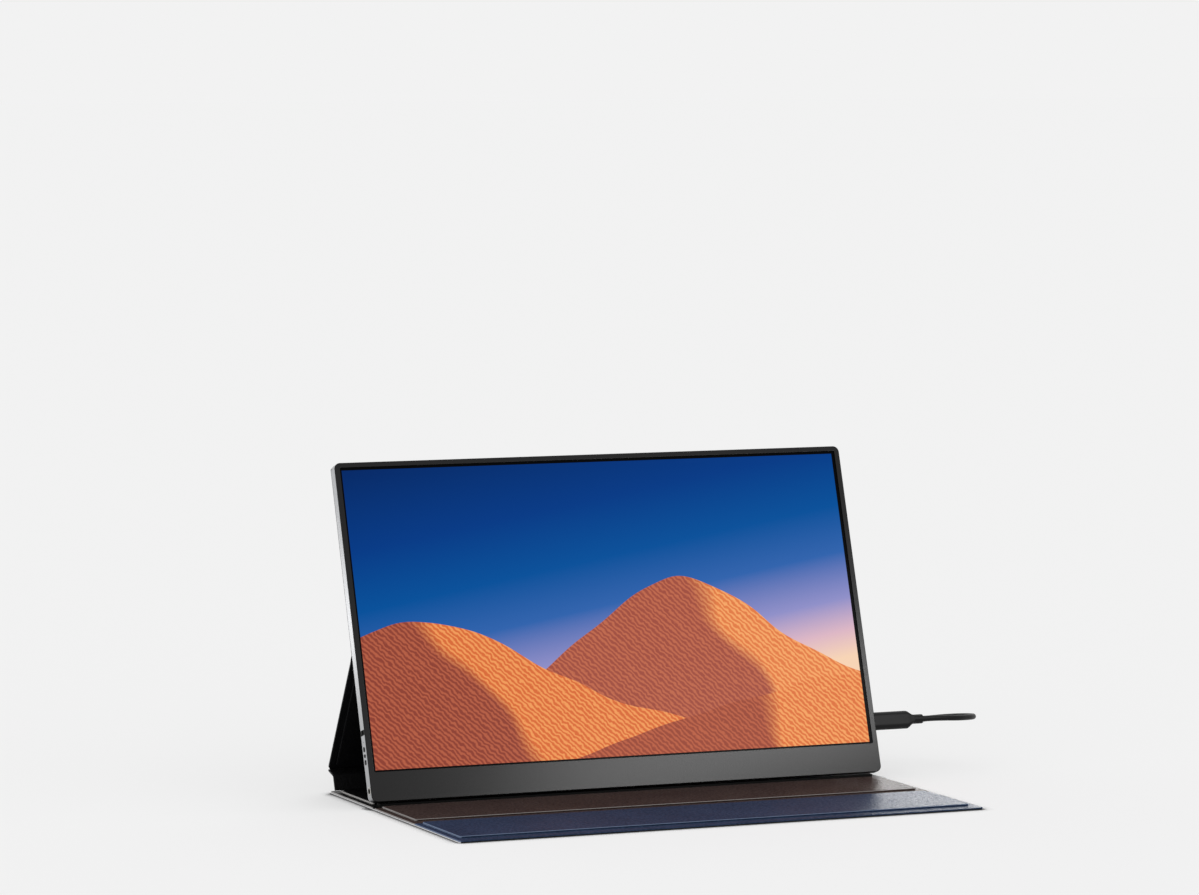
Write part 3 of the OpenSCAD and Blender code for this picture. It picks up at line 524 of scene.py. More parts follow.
def pick(kind, test):
    """Selects the faces, edges or verts whose middle, in mm, and direction pass a test."""
    bpy.ops.mesh.select_mode(type=SELECT_MODES[kind])
    bpy.ops.mesh.select_all(action="DESELECT")
    mesh = bpy.context.edit_object.data
    shape = bmesh.from_edit_mesh(mesh)
    for part in getattr(shape, kind):
        middle, way = middle_and_way(part, kind)
        part.select = bool(test(middle / MM, way))
    shape.select_flush_mode()
    if not any(part.select for part in getattr(shape, kind)):
        raise ValueError(f"nothing picked on {bpy.context.edit_object.name}")
    bmesh.update_edit_mesh(mesh)


def near(value, *targets, within=0.02):
    """Whether a length in mm is one of the targets, to within a fiftieth of a millimetre."""
    return any(abs(value - t) < within for t in targets)


print("pick selects", ", ".join(SELECT_MODES))

# %% [markdown]
# Most pieces start as a cube between two corners or as a cylinder along an axis. Both are applied
# at once, so the piece's own origin stays the frame's, and its place is in its mesh.

# %% Starting a piece
PIN_TURNS = {"X": (0, math.pi / 2, 0), "Y": (-math.pi / 2, 0, 0), "Z": (0, 0, 0)}


def started(name):
    """Applies the new primitive's place and gives it its name."""
    bpy.ops.object.transform_apply()
    piece = bpy.context.object
    piece.name = piece.data.name = name
    return piece


def box(name, low, high):
    """A cube between two corners in mm, with its place in its mesh."""
    bpy.ops.object.select_all(action="DESELECT")
    low, high = Vector(low) * MM, Vector(high) * MM
    bpy.ops.mesh.primitive_cube_add(size=1, location=(low + high) / 2, scale=high - low)
    return started(name)


def pin(name, start, radius, length, axis="X", sides=32):
    """A cylinder in mm from the middle of its first end, along an axis."""
    bpy.ops.object.select_all(action="DESELECT")
    way = Vector([float(axis == a) for a in "XYZ"])
    bpy.ops.mesh.primitive_cylinder_add(
        vertices=sides, radius=radius * MM, depth=length * MM,
        location=(Vector(start) + way * length / 2) * MM, rotation=PIN_TURNS[axis])
    return started(name)


print("a pin lies along", ", ".join(PIN_TURNS))

# %% [markdown]
# A started piece is then rounded, copied and cut. `round_edges` is the bevel tool on picked edges.
# `cut` takes other bodies out of a piece with the boolean modifier, which is applied at once, so
# that the mesh itself has the hole.

# %% Rounding, copying and cutting
def round_edges(test, radius, segments=3):
    """Bevels the picked edges of the piece in edit mode."""
    pick("edges", test)
    bevel_selected(radius, segments)


def bevel_selected(radius, segments):
    """Bevels the edges that are selected now, by a radius in mm."""
    bpy.ops.mesh.bevel(offset=radius * MM, segments=segments, affect="EDGES", clamp_overlap=False)


def copy_of(piece, name, move=(0, 0, 0)):
    """A copy with its own mesh, moved by that many mm."""
    other = piece.copy()
    other.data = piece.data.copy()
    other.name = other.data.name = name
    bpy.context.scene.collection.objects.link(other)
    other.data.transform(Matrix.Translation(Vector(move) * MM))
    return other


def apply_modifier(piece, kind, **settings):
    """Adds a modifier and applies it at once."""
    only(piece)
    made = piece.modifiers.new(kind.lower(), kind)
    for name, value in settings.items():
        setattr(made, name, value)
    bpy.ops.object.modifier_apply(modifier=made.name)


def cut(piece, cutters):
    """Cuts the cutters out of a piece and throws them away."""
    only(cutters[0])
    for other in cutters[1:]:
        other.select_set(True)
    if len(cutters) > 1:
        bpy.ops.object.join()
    apply_modifier(piece, "BOOLEAN", operation="DIFFERENCE", solver="EXACT", object=cutters[0])
    bpy.data.objects.remove(cutters[0])


print("ready:", ", ".join(tool.__name__ for tool in (round_edges, copy_of, cut)))

# %% [markdown]
# `place` ends every piece in the same way. It tips the mesh into its place, shades it smooth
# except over sharp edges, and gives it its finish, the solids that it stands for and the body that
# carries it. Smooth shading alone would draw grey clouds on wide flat faces beside a rounded edge,
# so the normals are weighted by the faces' size.

# %% Placing a finished piece
SMOOTH = math.radians(35)                   # edges that turn more than this stay sharp


def place(piece, finish_name, slot_name, body, solids=(), at=None):
    """Sets a finished piece in its place, with its finish, body and the solids it stands for."""
    only(piece)
    if at:
        piece.data.transform(at)
    bpy.ops.object.shade_smooth_by_angle(angle=SMOOTH)
    apply_modifier(piece, "WEIGHTED_NORMAL", keep_sharp=True)
    piece.data.materials.clear()
    piece.data.materials.append(FINISHES[finish_name])
    if solids:
        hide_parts(*solids)
    if body:
        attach(piece, body)
    low, high = [[f(v.co[i] for v in piece.data.vertices) / MM for i in range(3)]
                 for f in (min, max)]
    print(piece.name, len(piece.data.polygons), "faces, from", [round(v, 1) for v in low],
          "to", [round(v, 1) for v in high])


print("edges over", round(math.degrees(SMOOTH)), "degrees stay sharp")

# %% [markdown]
# ## Rear shell
#
# The shell is one shallow tray of aluminium, about 1 mm thick: a flat back with a wall all round.
# A bent sheet with Solidify could give the tray, but not the long chamfer under its back, so a
# cube is hollowed instead. It gets the four round corners first, then its front face is inset by
# the wall and pushed in. The chamfer is a bisect, and it needs the inner corner behind it filled
# beforehand, so that the cut doesn't open the wall.

# %% Tray with round corners
HALF_W, CORNER, WALL = 177.1, 4, 1.2
BEZEL_T, POCKET = 0.6, 5.7                  # the bezel lies in front of the tray; the tray's depth
INNER_FILL, CHAMFER_AT = 1.9, 4.6           # the filled inner corner; where the chamfer starts


def on_rim(at):
    """Whether a point of the wall's front is on its outline, or clear of its inner corners."""
    from_corner = math.hypot(abs(at.x) - (HALF_W - CORNER),
                             min(at.z - CORNER, BODY_H - CORNER - at.z, key=abs))
    return abs(at.x) > 176.5 or at.z < 0.6 or at.z > 218 or from_corner > 3.5


shell = box("rear_shell_tray", (-HALF_W, BEZEL_T, 0), (HALF_W, BODY_T, BODY_H))
edit(shell)
round_edges(lambda at, way: abs(way.y) > 0.9, CORNER, 8)
pick("faces", lambda at, way: way.y < -0.9)
bpy.ops.mesh.inset(thickness=WALL * MM)
bpy.ops.mesh.extrude_region_move(TRANSFORM_OT_translate={"value": (0, POCKET * MM, 0)})
round_edges(lambda at, way: abs(way.x) > 0.9 and near(at.y, BEZEL_T + POCKET)
            and near(at.z, WALL), INNER_FILL, 1)
bpy.ops.mesh.select_all(action="SELECT")
chamfer = Vector((0, 2.5, -2.7)).normalized()
bpy.ops.mesh.bisect(plane_co=(0, CHAMFER_AT * MM, 0), plane_no=chamfer, use_fill=True,
                    clear_outer=True)
# soften the rim of the back, all the way round
round_edges(lambda at, way: near(at.y, BODY_T) and abs(way.y) < 0.1, 0.4, 3)
# and the front of the wall where it meets the bezel, apart from its tight inner corners
round_edges(lambda at, way: near(at.y, BEZEL_T) and abs(way.y) < 0.1 and on_rim(at), 0.2, 2)
leave()
print("tray", len(shell.data.polygons), "faces")

# %% [markdown]
# ## Openings in the shell
#
# Every opening is a small tool body that is cut out with a boolean, as a milling cutter would do.
# Drawing the openings into the mesh by hand would need many extra edges round the shell; a cutter
# keeps each one's place and size in one line. The long round slots are bars with their long edges
# rounded fully. The two sockets of one kind and the two long buttons use one cutter each, copied.

# %% Cutters for the sides
DEEP = 3.2                                  # how far a cutter goes through a side wall
RIGHT, LEFT = HALF_W - 2.2, -HALF_W - 1     # where the cutters start on either side
PORT_Y, POWER_Z, VIDEO_Z = 4.6, 34, 66
BUTTON_Y, BUTTON_Z, MIDDLE_Z, LIGHT_Z = 4.2, 26, 30.15, 38.9
JACK_Y, JACK_Z = 3.45, 7.6
DIAL_Y, DIAL_Z = (1.65, 6.2), (43.3, 46.3)


def slot_cutter(name, x, depth, height, width, thick):
    """A bar along X with round edges: width up the side, thick across it."""
    bar = box(name, (x, depth - thick / 2, height - width / 2),
              (x + DEEP, depth + thick / 2, height + width / 2))
    edit(bar)
    round_edges(lambda at, way: abs(way.x) > 0.9, thick / 2 - 0.005, 8)
    leave()
    return bar


def dial_opening(name):
    """The cutter for the dial's opening, which serves the shell and the frame round it."""
    return box(name, (LEFT, DIAL_Y[0], DIAL_Z[0]), (LEFT + DEEP, DIAL_Y[1], DIAL_Z[1]))


power_hole = slot_cutter("hole_power", RIGHT, PORT_Y, POWER_Z, 9.14, 3.4)
button_hole = slot_cutter("hole_button", LEFT, BUTTON_Y, BUTTON_Z, 3.3, 1.9)
side_holes = [
    power_hole, copy_of(power_hole, "hole_data", (0, 0, 16)),
    slot_cutter("hole_video", RIGHT, PORT_Y, VIDEO_Z, 11.4, 3.4),
    button_hole, copy_of(button_hole, "hole_button_up", (0, 0, 8.3)),
    pin("hole_middle", (LEFT, BUTTON_Y, MIDDLE_Z), 1.15, DEEP),
    pin("hole_light", (LEFT, BUTTON_Y, LIGHT_Z), 0.6, DEEP, sides=20),
    pin("hole_jack", (LEFT, JACK_Y, JACK_Z), 2.8, DEEP, sides=48),
    dial_opening("hole_dial"),
]
print(len(side_holes), "cutters for the sides")
cut(shell, side_holes)

# %% Speaker slots and the seat of the dial's bracket
SPEAKER_SLOTS, SLOT_PITCH, TO_RIGHT_SPEAKER = 6, 4, 264

sound_slot = box("slot_0", (-142, 5.5, 6.2), (-140.8, 8, 12.2))
edit(sound_slot)
round_edges(lambda at, way: abs(way.y) > 0.9, 0.59, 5)
leave()
sound_slots = [sound_slot]
for name, shift, first in (("slot_", 0, 1), ("slot_right_", TO_RIGHT_SPEAKER, 0)):
    sound_slots += [copy_of(sound_slot, f"{name}{i}", (shift + SLOT_PITCH * i, 0, 0))
                    for i in range(first, SPEAKER_SLOTS)]
print(len(sound_slots), "slots for the speakers")
cut(shell, sound_slots)
cut(shell, [box("seat_bracket", (-176.45, 2.95, 42.45), (-172.25, 6.35, 47.15))])
place(shell, "blasted_aluminium", "shell", "monitor", ["rear_shell"], ON_MONITOR)

# %% [markdown]
# A thin black frame lines the dial's opening, across the whole side. The headphone socket is black
# nylon too, and a thin nickel ring is pressed on its face. The frame is a plate with the opening
# cut out. The ring is a flat cylinder whose two ends are inset and then bridged, which opens it.

# %% Frame of the dial and ring of the headphone socket
PROUD = 0.12                                # how far both stand out of the side

dial_frame = box("dial_frame", (-HALF_W - PROUD, 0.8, 43.1), (-HALF_W + 0.02, 7.0, 46.5))
edit(dial_frame)
round_edges(lambda at, way: abs(way.x) > 0.9, 0.5, 4)
leave()
cut(dial_frame, [dial_opening("opening")])
place(dial_frame, "black_anodised", "jack_plastic", "monitor", (), ON_MONITOR)

RING_R = 2.7
ring = pin("headphone_ring", (-HALF_W - PROUD, JACK_Y, JACK_Z), RING_R, 0.14, sides=48)
edit(ring)
pick("faces", lambda at, way: abs(way.x) > 0.9)
bpy.ops.mesh.inset(thickness=0.85 * MM)
bpy.ops.mesh.bridge_edge_loops()
round_edges(lambda at, way: near(at.x, -HALF_W - PROUD)
            and math.hypot(at.y - JACK_Y, at.z - JACK_Z) > RING_R - 0.1, 0.08, 2)
leave()
place(ring, "nickel_plate", "port_steel", "monitor", (), ON_MONITOR)

# %% [markdown]
# ## Bezel
#
# The bezel is a thin plate with a window for the picture. It is a cube again, with the same round
# corners as the shell. An inset would give the window the outline's own large corners, so it is
# cut instead, with a block whose corners are rounded by 1 mm. The outer front edge is turned over
# by half a millimetre, which draws the darker line round it.

# %% Plate and window
WINDOW_HALF_W, WINDOW_LOW, WINDOW_HIGH = 173.6, 18.9, 215.5

bezel = box("bezel_plate", (-HALF_W, 0, 0), (HALF_W, BEZEL_T, BODY_H))
edit(bezel)
round_edges(lambda at, way: abs(way.y) > 0.9, CORNER, 8)
round_edges(lambda at, way: near(at.y, 0) and abs(way.y) < 0.1, 0.45, 4)
leave()
window = box("window", (-WINDOW_HALF_W, -1, WINDOW_LOW), (WINDOW_HALF_W, 2, WINDOW_HIGH))
edit(window)
round_edges(lambda at, way: abs(way.y) > 0.9, 1, 5)
leave()
cut(bezel, [window])
edit(bezel)
round_edges(lambda at, way: near(at.y, 0) and abs(way.y) < 0.1
            and abs(at.x) < WINDOW_HALF_W + 0.1
            and WINDOW_LOW - 0.1 < at.z < WINDOW_HIGH + 0.1, 0.12, 2)
leave()
place(bezel, "satin_abs", "bezel", "monitor", ["front_bezel"], ON_MONITOR)

# %% [markdown]
# ## Flaps of the cover
#
# A flap is two sheets of leather with a board between them. From above one sees the inner sheet:
# flat along the hems, and standing up over the board with soft edges. Boards and glue hold the
# leather flat, so nothing here hangs or crumples and it needs no cloth simulation. It is modelled
# as it is made: a flat sheet is bisected where the board's edges come, the middle face is pulled
# up by the board's thickness, its corners, its top edges and its foot are rounded, and Solidify
# gives the sheet its 0.7 mm. The outer sheet is a thin slab below it.

# %% The two sheets of a flap
HALF_COVER = 176.2
PAD_X = 171.9                               # half the width over the board, leather included
HEM_TOP, PAD_TOP, LEATHER = 1.4, 2.5, 0.7   # heights over the table, and one leather's thickness
CORNER_OF_FLAP = 1.5


def cut_across(axis, at):
    """Bisects the whole mesh in edit mode, square to X or Y, at so many mm along it."""
    way = Vector([float(axis == a) for a in "XYZ"])
    bpy.ops.mesh.select_all(action="SELECT")
    bpy.ops.mesh.bisect(plane_co=way * at * MM, plane_no=way)


def inner_sheet(name, start, end, pad_start, pad_end, round_ends=()):
    """The inner leather from start to end (mm along Y), raised from pad_start to pad_end."""
    bpy.ops.object.select_all(action="DESELECT")
    bpy.ops.mesh.primitive_plane_add(size=1, location=(0, (start + end) / 2 * MM, HEM_TOP * MM))
    bpy.context.object.scale = (2 * HALF_COVER * MM, (end - start) * MM, 1)
    sheet = started(name)
    edit(sheet)
    if round_ends:
        pick("verts", lambda at, way: near(at.y, *round_ends))
        bpy.ops.mesh.bevel(offset=CORNER_OF_FLAP * MM, segments=4, affect="VERTICES")
    for axis, edges in (("X", (-PAD_X, PAD_X)), ("Y", (pad_start, pad_end))):
        for at in edges:
            cut_across(axis, at)
    pick("faces", lambda at, way: abs(at.x) < PAD_X and pad_start < at.y < pad_end)
    bpy.ops.mesh.extrude_region_move(
        TRANSFORM_OT_translate={"value": (0, 0, (PAD_TOP - HEM_TOP) * MM)})
    round_edges(lambda at, way: abs(way.z) > 0.9, 2.2, 4)
    pick("faces", lambda at, way: near(at.z, PAD_TOP))
    bpy.ops.mesh.region_to_loop()
    bevel_selected(0.6, 4)
    leave()
    apply_modifier(sheet, "SOLIDIFY", thickness=LEATHER * MM, offset=-1, use_even_offset=True)
    return sheet


def outer_sheet(name, start, end, round_ends=()):
    """The outer leather: a slab with its rim just broken."""
    slab = box(name, (-HALF_COVER, start, 0), (HALF_COVER, end, LEATHER))
    edit(slab)
    if round_ends:
        round_edges(lambda at, way: abs(way.z) > 0.9 and near(at.y, *round_ends),
                    CORNER_OF_FLAP, 4)
    round_edges(lambda at, way: abs(way.z) < 0.1 and (near(at.y, *round_ends) or (
        near(abs(at.x), HALF_COVER, within=1.6) and abs(way.y) > 0.05)), 0.2, 2)
    leave()
    return slab


print("a flap is", PAD_TOP, "mm high over its board and", HEM_TOP, "mm at its hems")

# %% [markdown]
# The three flaps that lie on the table differ only in their lengths. Near each fold they stop, and
# a strip that can bend takes over: half a millimetre away at the groove, four and a half at the
# valley between the two front flaps. The lining is black on the rear flap. On the middle one a
# brownish black paints in the screen's orange glow reflected on it, and on the front one a navy
# paints in a bluish sheen.

# %% Rear, middle and front flap
VALLEY = -35.2768                           # the fold between the middle and the front flap
REAR_END, FRONT_END = 110.7232, -115.2768
GROOVE_HALF, VALLEY_HALF, SHORE = 3.0, 4.5, 0.6
# where each flap starts and ends, where its raised part does, and which ends have round corners
FLAPS = {
    "rear_flap": (FOLD + GROOVE_HALF, REAR_END, FOLD + 15.5 - LEATHER, REAR_END - 5 + LEATHER,
                  [REAR_END]),
    "mid_flap": (VALLEY + VALLEY_HALF, FOLD - SHORE, VALLEY + 5.3, FOLD - 0.8, []),
    "front_flap": (FRONT_END, VALLEY - VALLEY_HALF, FRONT_END + 10.8, VALLEY - 5.3, [FRONT_END]),
}
LININGS = {
    "rear_flap": ("rear_leather", "inner_leather"),
    "mid_flap": ("warm_leather", "inner_leather"),
    "front_flap": ("navy_leather", "front_leather"),
}
for flap, (start, end, pad_start, pad_end, ends) in FLAPS.items():
    inside = inner_sheet(flap + "_inside", start, end, pad_start, pad_end, ends)
    place(inside, *LININGS[flap], flap, [flap + "_lining"])
    outside = outer_sheet(flap + "_outside", start, end, ends)
    place(outside, "base_leather", "outer_leather", flap, [flap + "_leather"])

# %% [markdown]
# ## Folds that bend
#
# Where two flaps meet, both sheets are glued together and bend as one. Each sheet's strip is a
# slab cut into narrow ribs, and the lining's middle is pressed in a little as a hot iron leaves it.

# %% Strips across the groove's fold and across the valley
def fold_strip(name, finish_name, slot_name, low, high, start, end, ribs, bodies, bend, dip=0):
    """A strip of leather across a fold, from low to high, cut into ribs; bodies is not used."""
    strip = box(name, (-HALF_COVER, start, low), (HALF_COVER, end, high))
    rib = (end - start) / ribs
    edit(strip)
    for i in range(1, ribs):
        cut_across("Y", start + (end - start) * i / ribs)
    if dip:
        pick("verts", lambda at, way: near(at.z, high) and abs(at.y - sum(bend) / 2) < 0.6 * rib)
        bpy.ops.transform.translate(value=(0, 0, -dip * MM))
    leave()
    place(strip, finish_name, slot_name, None)
    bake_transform(strip)


# where a strip starts and ends, its ribs, the bodies that it joins, and where it bends
GROOVE_STRIP = (FOLD - SHORE, FOLD + GROOVE_HALF, 9, ("mid_flap", "rear_flap"),
                (FOLD - SHORE, FOLD + 1.4))
VALLEY_STRIP = (VALLEY - VALLEY_HALF, VALLEY + VALLEY_HALF, 12, ("front_flap", "mid_flap"),
                (VALLEY - 3, VALLEY + 3))
# the valley's lining takes the middle flap's brownish colour, which paints in the screen's glow
# reflected on it
for name, lining, strip, dip in (("groove", "inner_leather", GROOVE_STRIP, 0.05),
                                 ("valley", "warm_leather", VALLEY_STRIP, 0.15)):
    fold_strip(name + "_fold_inside", lining, "inner_leather", LEATHER, HEM_TOP, *strip, dip=dip)
    fold_strip(name + "_fold_outside", "base_leather", "outer_leather", 0, LEATHER, *strip)

# %% [markdown]
# ## Back panel and leg
#
# The panel on the monitor's back and the leg that props it are flaps like the others, only turned.
# Each is drawn flat, as a flap on the table is, and then tipped into its place: the panel against
# the monitor with its outer leather away from it, and the leg hanging from the fold between them.

# %% Places of the panel and the leg
GLUE = 0.3                                  # the adhesive sheet between the monitor and the panel
BACK_D = BODY_T + GLUE + PAD_TOP            # from the screen to the panel's outer face
TOP_FOLD_H, TOP_FOLD = 95.7, Vector((0, 70.9018, 92.895)) * MM
LEG_L, LEG_LEAN = 88.75, 30
PANEL_END = BODY_H - 1
HEM, BOARD_GAP = 3.8, 4.6                   # from the fold to where the sheets and boards start

ON_BACK = (ON_MONITOR @ Matrix.Translation((0, BACK_D * MM, 0))
           @ Matrix.Rotation(math.pi / 2, 4, "X"))
ON_LEG = Matrix.Translation(TOP_FOLD) @ Matrix.Rotation(math.radians(LEG_LEAN + 90), 4, "X")

panel_inside = inner_sheet("back_panel_inside", TOP_FOLD_H + HEM, PANEL_END,
                           TOP_FOLD_H + BOARD_GAP, BODY_H - 5.3, [PANEL_END])
place(panel_inside, "inner_leather", "inner_leather", "monitor", ["back_panel_lining"], ON_BACK)
panel_outside = outer_sheet("back_panel_outside", TOP_FOLD_H + HEM, PANEL_END, [PANEL_END])
place(panel_outside, "outer_leather", "outer_leather", "monitor", ["back_panel_leather"], ON_BACK)

# %% The leg, whose lower end curls in to meet the tail strip
leg_inside = inner_sheet("leg_inside", -LEG_L, -HEM, -LEG_L + 1.8, -BOARD_GAP, [-LEG_L])
place(leg_inside, "inner_leather", "inner_leather", "leg", ["leg_lining"], ON_LEG)
leg_outside = outer_sheet("leg_outside", -LEG_L, -HEM, [-LEG_L])
edit(leg_outside)
pick("faces", lambda at, way: way.y < -0.9)
for out, rise in ((0.4, 0.5), (0.3, 0.7)):
    bpy.ops.mesh.extrude_region_move(TRANSFORM_OT_translate={"value": (0, -out * MM, rise * MM)})
leave()
place(leg_outside, "outer_leather", "outer_leather", "leg", ["leg_leather"], ON_LEG)

# %% [markdown]
# ## The fold behind the monitor
#
# Here the leather turns through 48 degrees between the panel and the leg. The strip starts as a
# slab on the panel, and its lower end is spun round the fold's own line, which runs along the
# outer leather, then drawn out along the leg.

# %% Spun strip between the panel and the leg
STAND = math.radians(48)

top_strip = box("top_fold", (-HALF_COVER, BACK_D - HEM_TOP, TOP_FOLD_H),
                (HALF_COVER, BACK_D, TOP_FOLD_H + HEM))
edit(top_strip)
pick("faces", lambda at, way: way.z < -0.9)
bpy.ops.mesh.spin(steps=8, angle=STAND, center=(0, BACK_D * MM, TOP_FOLD_H * MM), axis=(1, 0, 0))
bpy.ops.mesh.extrude_region_move(TRANSFORM_OT_translate={
    "value": (0, HEM * MM * math.sin(STAND), -HEM * MM * math.cos(STAND))})
# the spin leaves doubles and may turn the shape inside out
bpy.ops.mesh.select_all(action="SELECT")
bpy.ops.mesh.remove_doubles(threshold=0.001 * MM)
bpy.ops.mesh.dissolve_degenerate(threshold=0.0005 * MM)
bpy.ops.mesh.select_all(action="SELECT")
bpy.ops.mesh.normals_make_consistent(inside=False)
leave()
place(top_strip, "outer_leather", "outer_leather", None, (), ON_MONITOR)
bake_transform(top_strip)

# %% [markdown]
# ## Tail and spine
#
# Below the leg the cover folds inwards and down to the rear flap in two narrow strips, which keep
# the stand from sliding open. Each strip turns about its two folds, so its long edges are
# rounded fully, round the very lines it turns about: a knuckle that fits at every angle.

# %% Two narrow strips
TAIL_TOP, STRIP_FOLD, SPINE_FOOT = (114.0313, 14.3925), (105.538, 12.0922), (102.5232, 3.4)
STRIP_HALF, FULL_ROUND = 0.6, 0.595         # half a strip's thickness; its edges' radius, just less


def narrow_strip(name, top, foot, body):
    """A strip between two folds, given by Y and Z, with both long edges fully round."""
    top, foot = Vector((0, *top)), Vector((0, *foot))
    width = (foot - top).length
    strip = box(name, (-HALF_COVER, -STRIP_HALF, -width - STRIP_HALF),
                (HALF_COVER, STRIP_HALF, STRIP_HALF))
    edit(strip)
    round_edges(lambda at, way: abs(way.x) > 0.9, FULL_ROUND, 6)
    leave()
    turn = math.atan2(foot.y - top.y, top.z - foot.z)
    place(strip, "outer_leather", "outer_leather", body, [body],
          Matrix.Translation(top * MM) @ Matrix.Rotation(turn, 4, "X"))


narrow_strip("tail_leather", TAIL_TOP, STRIP_FOLD, "tail_strip")
narrow_strip("spine_leather", STRIP_FOLD, SPINE_FOOT, "spine_strip")

# %% The seam that holds the spine on the rear flap
SEAM_HALF_W, SEAM_HALF = 170, 0.45

seam = box("spine_seam", (-SEAM_HALF_W, SPINE_FOOT[0] - SEAM_HALF, 2.2),
           (SEAM_HALF_W, SPINE_FOOT[0] + SEAM_HALF, SPINE_FOOT[1] - 0.1))
edit(seam)
round_edges(lambda at, way: abs(way.z) > 0.9, 0.4, 3)
leave()
place(seam, "outer_leather", "outer_leather", "rear_flap")

# %% [markdown]
# ## Plugs
#
# Both ends of the cable carry the same plug: a flat moulded body with full round sides, which draws
# in over its last 5 mm to a short round collar. The body is a bar with its long edges rounded
# fully; its end face is extruded in small steps, each a little smaller, on an S-shaped curve. A
# subdivision surface would give the curve too, but it would also round the flat faces. The body
# and the collar are made once, beside the port that the first plug sits in, and copied to the far
# end.

# %% Moulded body and collar
PORT = Vector((177.3, PORT_Y, POWER_Z))     # where the plug's body begins, in the monitor's axes
PLUG_W, PLUG_T, PLUG_L = 11.8, 6.5, 24.2
SHOULDER, COLLAR_R, COLLAR_L = 5.2, 3.05, 6.8
STEPS = 8                                   # from the body to the collar

half_plug = Vector((0, PLUG_T / 2, PLUG_W / 2))
body = box("plug_moulding", PORT - half_plug, PORT + Vector((PLUG_L, 0, 0)) + half_plug)
edit(body)
round_edges(lambda at, way: abs(way.x) > 0.9, PLUG_T / 2 - 0.01, 10)
pick("faces", lambda at, way: way.x < -0.9)
bpy.ops.mesh.region_to_loop()
bevel_selected(0.5, 3)
pick("faces", lambda at, way: way.x > 0.9 and at.x > PORT.x + 1)
wide, thick = PLUG_W, PLUG_T
for i in range(1, STEPS + 1):
    t = eased(i, 0, STEPS)
    new_wide = PLUG_W + (2 * COLLAR_R - PLUG_W) * t
    new_thick = PLUG_T + (2 * COLLAR_R - PLUG_T) * t
    bpy.ops.mesh.extrude_region_move(
        TRANSFORM_OT_translate={"value": (SHOULDER / STEPS * MM, 0, 0)})
    here = PORT + Vector((PLUG_L + SHOULDER * i / STEPS, 0, 0))
    bpy.ops.transform.resize(value=(1, new_thick / thick, new_wide / wide),
                             center_override=here * MM)
    wide, thick = new_wide, new_thick
leave()

collar = pin("plug_collar", PORT + Vector((PLUG_L + SHOULDER - 0.2, 0, 0)), COLLAR_R,
             COLLAR_L + 0.2, sides=40)
edit(collar)
round_edges(lambda at, way: near(at.x, PORT.x + PLUG_L + SHOULDER + COLLAR_L), 0.6, 4)
leave()
print("the plug is", round(PLUG_L + SHOULDER + COLLAR_L, 1), "mm long with its collar")

# %% The same pair at the far end, flat on the table
FAR_PORT = Vector((29.8, 171, 3.25))
TO_TABLE = (Matrix.Translation(FAR_PORT * MM) @ Matrix.Rotation(math.pi / 2, 4, "X")
            @ Matrix.Translation(-PORT * MM))

far_body, far_collar = copy_of(body, "far_plug_moulding"), copy_of(collar, "far_plug_collar")
for piece, solid, where in ((body, "plug_body", ON_MONITOR), (collar, "strain_relief", ON_MONITOR),
                            (far_body, "far_plug_body", TO_TABLE),
                            (far_collar, "far_strain_relief", TO_TABLE)):
    place(piece, "moulded_pvc", "plug_plastic", "monitor", [solid], where)

# %% Hand over the cable with what it carries
cable.data.materials.append(FINISHES["cable_pvc"])
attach(cable, "monitor")
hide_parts("cable", "cable_coil")
print("the cable carries a plug at each end and a strap")

# %% [markdown]
# ## Floor and light
#
# The table is a wide pale sheet under an even pale sky. Its paper is matt. The eye and mirrors see
# a second shader instead: half its light is its own, so wide shadows stay soft, and only the last
# few millimetres beside a piece get dark, as Ambient Occlusion tells.

# %% Floor
CONTACT = 8                                 # mm over which the floor darkens beside a piece
PAPER, OWN_LIGHT, OWN_GREY = 0.84, 0.50, 0.38

bpy.ops.mesh.primitive_grid_add(x_subdivisions=2, y_subdivisions=2, size=60, location=(0, 0, 0))
floor = bpy.context.object
floor.name = "floor"
paper, paper_shader, _ = finish("pale_paper", Roughness=0.9, Specular_IOR_Level=0.0)
paper_shader.inputs["Base Color"].default_value = (PAPER, PAPER, PAPER, 1)
nearby = add(paper, "AmbientOcclusion", {"Distance": CONTACT * MM}, samples=12).outputs["AO"]
nearby = add(paper, "Math", {0: nearby, 1: 12.0}, operation="POWER").outputs[0]
nearby = add(paper, "MapRange", {"Value": nearby, "To Min": 0.1, "To Max": 1.0}).outputs[0]
own = add(paper, "Math", {0: nearby, 1: OWN_LIGHT}, operation="MULTIPLY").outputs[0]
grey = add(paper, "VectorMath", {0: (OWN_GREY, OWN_GREY, OWN_GREY), "Scale": nearby},
           operation="SCALE").outputs[0]
seen_shader = add(paper, "BsdfPrincipled", {
    "Base Color": grey, "Roughness": 0.9, "Specular IOR Level": 0.0,
    "Emission Color": (1, 1, 1, 1), "Emission Strength": own})
path = add(paper, "LightPath").outputs
seen = path["Is Camera Ray"]
for ray in ("Is Glossy Ray", "Is Transmission Ray"):
    seen = add(paper, "Math", {0: seen, 1: path[ray]}, operation="MAXIMUM").outputs[0]
both = add(paper, "MixShader", {0: seen, 1: paper_shader.outputs[0], 2: seen_shader.outputs[0]})
paper.node_tree.links.new(both.outputs[0],
                          paper.node_tree.nodes["Material Output"].inputs["Surface"])
floor.data.materials.append(paper)
print("the floor darkens over the last", CONTACT, "mm beside a piece")

# %% [markdown]
# A soft lamp from the back right gives the short shadow in front of the cover and on its left.
# Three more lamps are seen only in gloss, as bright windows and cards are in a studio: one for the
# satin bezel, one for the metal side, and one for the flaps. The last is bright, so it is kept off
# everything else by light linking.

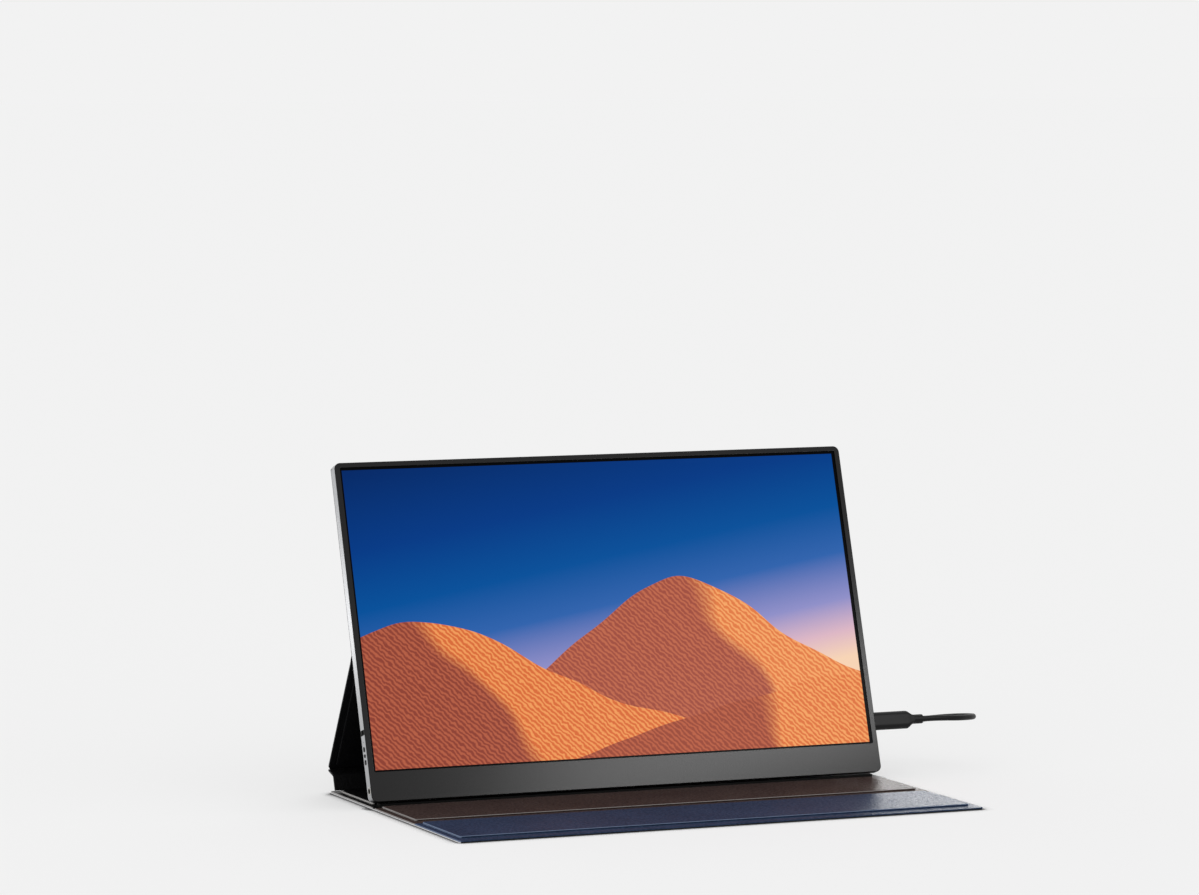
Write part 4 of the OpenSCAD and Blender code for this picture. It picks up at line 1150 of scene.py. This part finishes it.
# %% Sky and lamps
bpy.context.scene.view_settings.view_transform = "Standard"
sky = bpy.data.worlds.new("pale_sky")
bpy.context.scene.world = sky
sky.use_nodes = True
air = sky.node_tree.nodes["Background"]
air.inputs["Color"].default_value = (1, 1, 1, 1)
air.inputs["Strength"].default_value = 0.888

from_sun = Vector((0.45, 0.55, 0.95))
bpy.ops.object.light_add(type="SUN", rotation=from_sun.to_track_quat("Z", "Y").to_euler())
sun = bpy.context.object
sun.name = "soft_sun"
sun.data.energy, sun.data.angle = 0.5, math.radians(50)


def gloss_window(name, where, aim, width, height, watts, only_on=()):
    """A lamp that only gloss shows, on every piece or only on those whose names start so."""
    away = Vector(where) - Vector(aim)
    bpy.ops.object.light_add(type="AREA", location=where,
                             rotation=away.to_track_quat("Z", "Y").to_euler())
    lamp = bpy.context.object
    lamp.name = name
    lamp.data.shape, lamp.data.energy = "RECTANGLE", watts
    lamp.data.size, lamp.data.size_y = width, height
    lamp.visible_camera = lamp.visible_diffuse = lamp.visible_transmission = False
    if only_on:
        lit = bpy.data.collections.new(name + "_receivers")
        lamp.light_linking.receiver_collection = lit
        for piece in bpy.data.objects:
            if piece.type == "MESH" and piece.name.startswith(only_on):
                lit.objects.link(piece)


# places, sizes and aims in metres
gloss_window("window_front", (0.243, -0.296, 0.215), (0.08, 0.035, 0.015), 0.30, 0.06, 1.0)
gloss_window("window_back", (2.01, 2.28, 0.44), (0.2, -0.12, 0), 2.2, 1.2, 88,
             only_on=("mid_flap", "front_flap", "valley_fold"))
gloss_window("card_left", (-0.57, 0.98, 0.004), (-0.57, 0.98, 1), 0.8, 0.5, 3.0)

# %% [markdown]
# ## The solids that stay
#
# The solids that no piece stands for keep their shape and only need a finish. Each names the slot
# of its material in the record, so one table from slots to finishes serves them all.

# %% Finishes of the solids that stay
SLOT_FINISH = {
    "shell": "blasted_aluminium", "bezel": "satin_abs", "screen": "lit_picture",
    "film": "optical_film", "acrylic": "light_guide_acrylic", "lamp_strip": "lamp_phosphor",
    "steel": "rolled_steel", "circuit_board": "solder_mask", "chip": "chip_epoxy",
    "flat_cable": "polyimide_film", "port_steel": "nickel_plate", "jack_plastic": "black_nylon",
    "button": "black_anodised", "dial_metal": "knurled_black", "light_pipe": "light_pipe",
    "speaker_plastic": "speaker_plastic", "magnet": "magnet_coat", "adhesive": "foam_tape",
    "outer_leather": "outer_leather", "inner_leather": "inner_leather",
    "front_leather": "navy_leather", "fibre_board": "fibre_board", "grip_rubber": "grip_rubber",
    "plug_plastic": "moulded_pvc", "cable_jacket": "cable_pvc", "tie_fabric": "strap_nylon",
}
for part in frame["record"]["subparts"]:
    solid = frame["nodes"][part["node"]]
    solid.data.materials.clear()
    solid.data.materials.append(FINISHES[SLOT_FINISH[part["material_slot"]]])
print(len(frame["nodes"]), "solids have their finish")
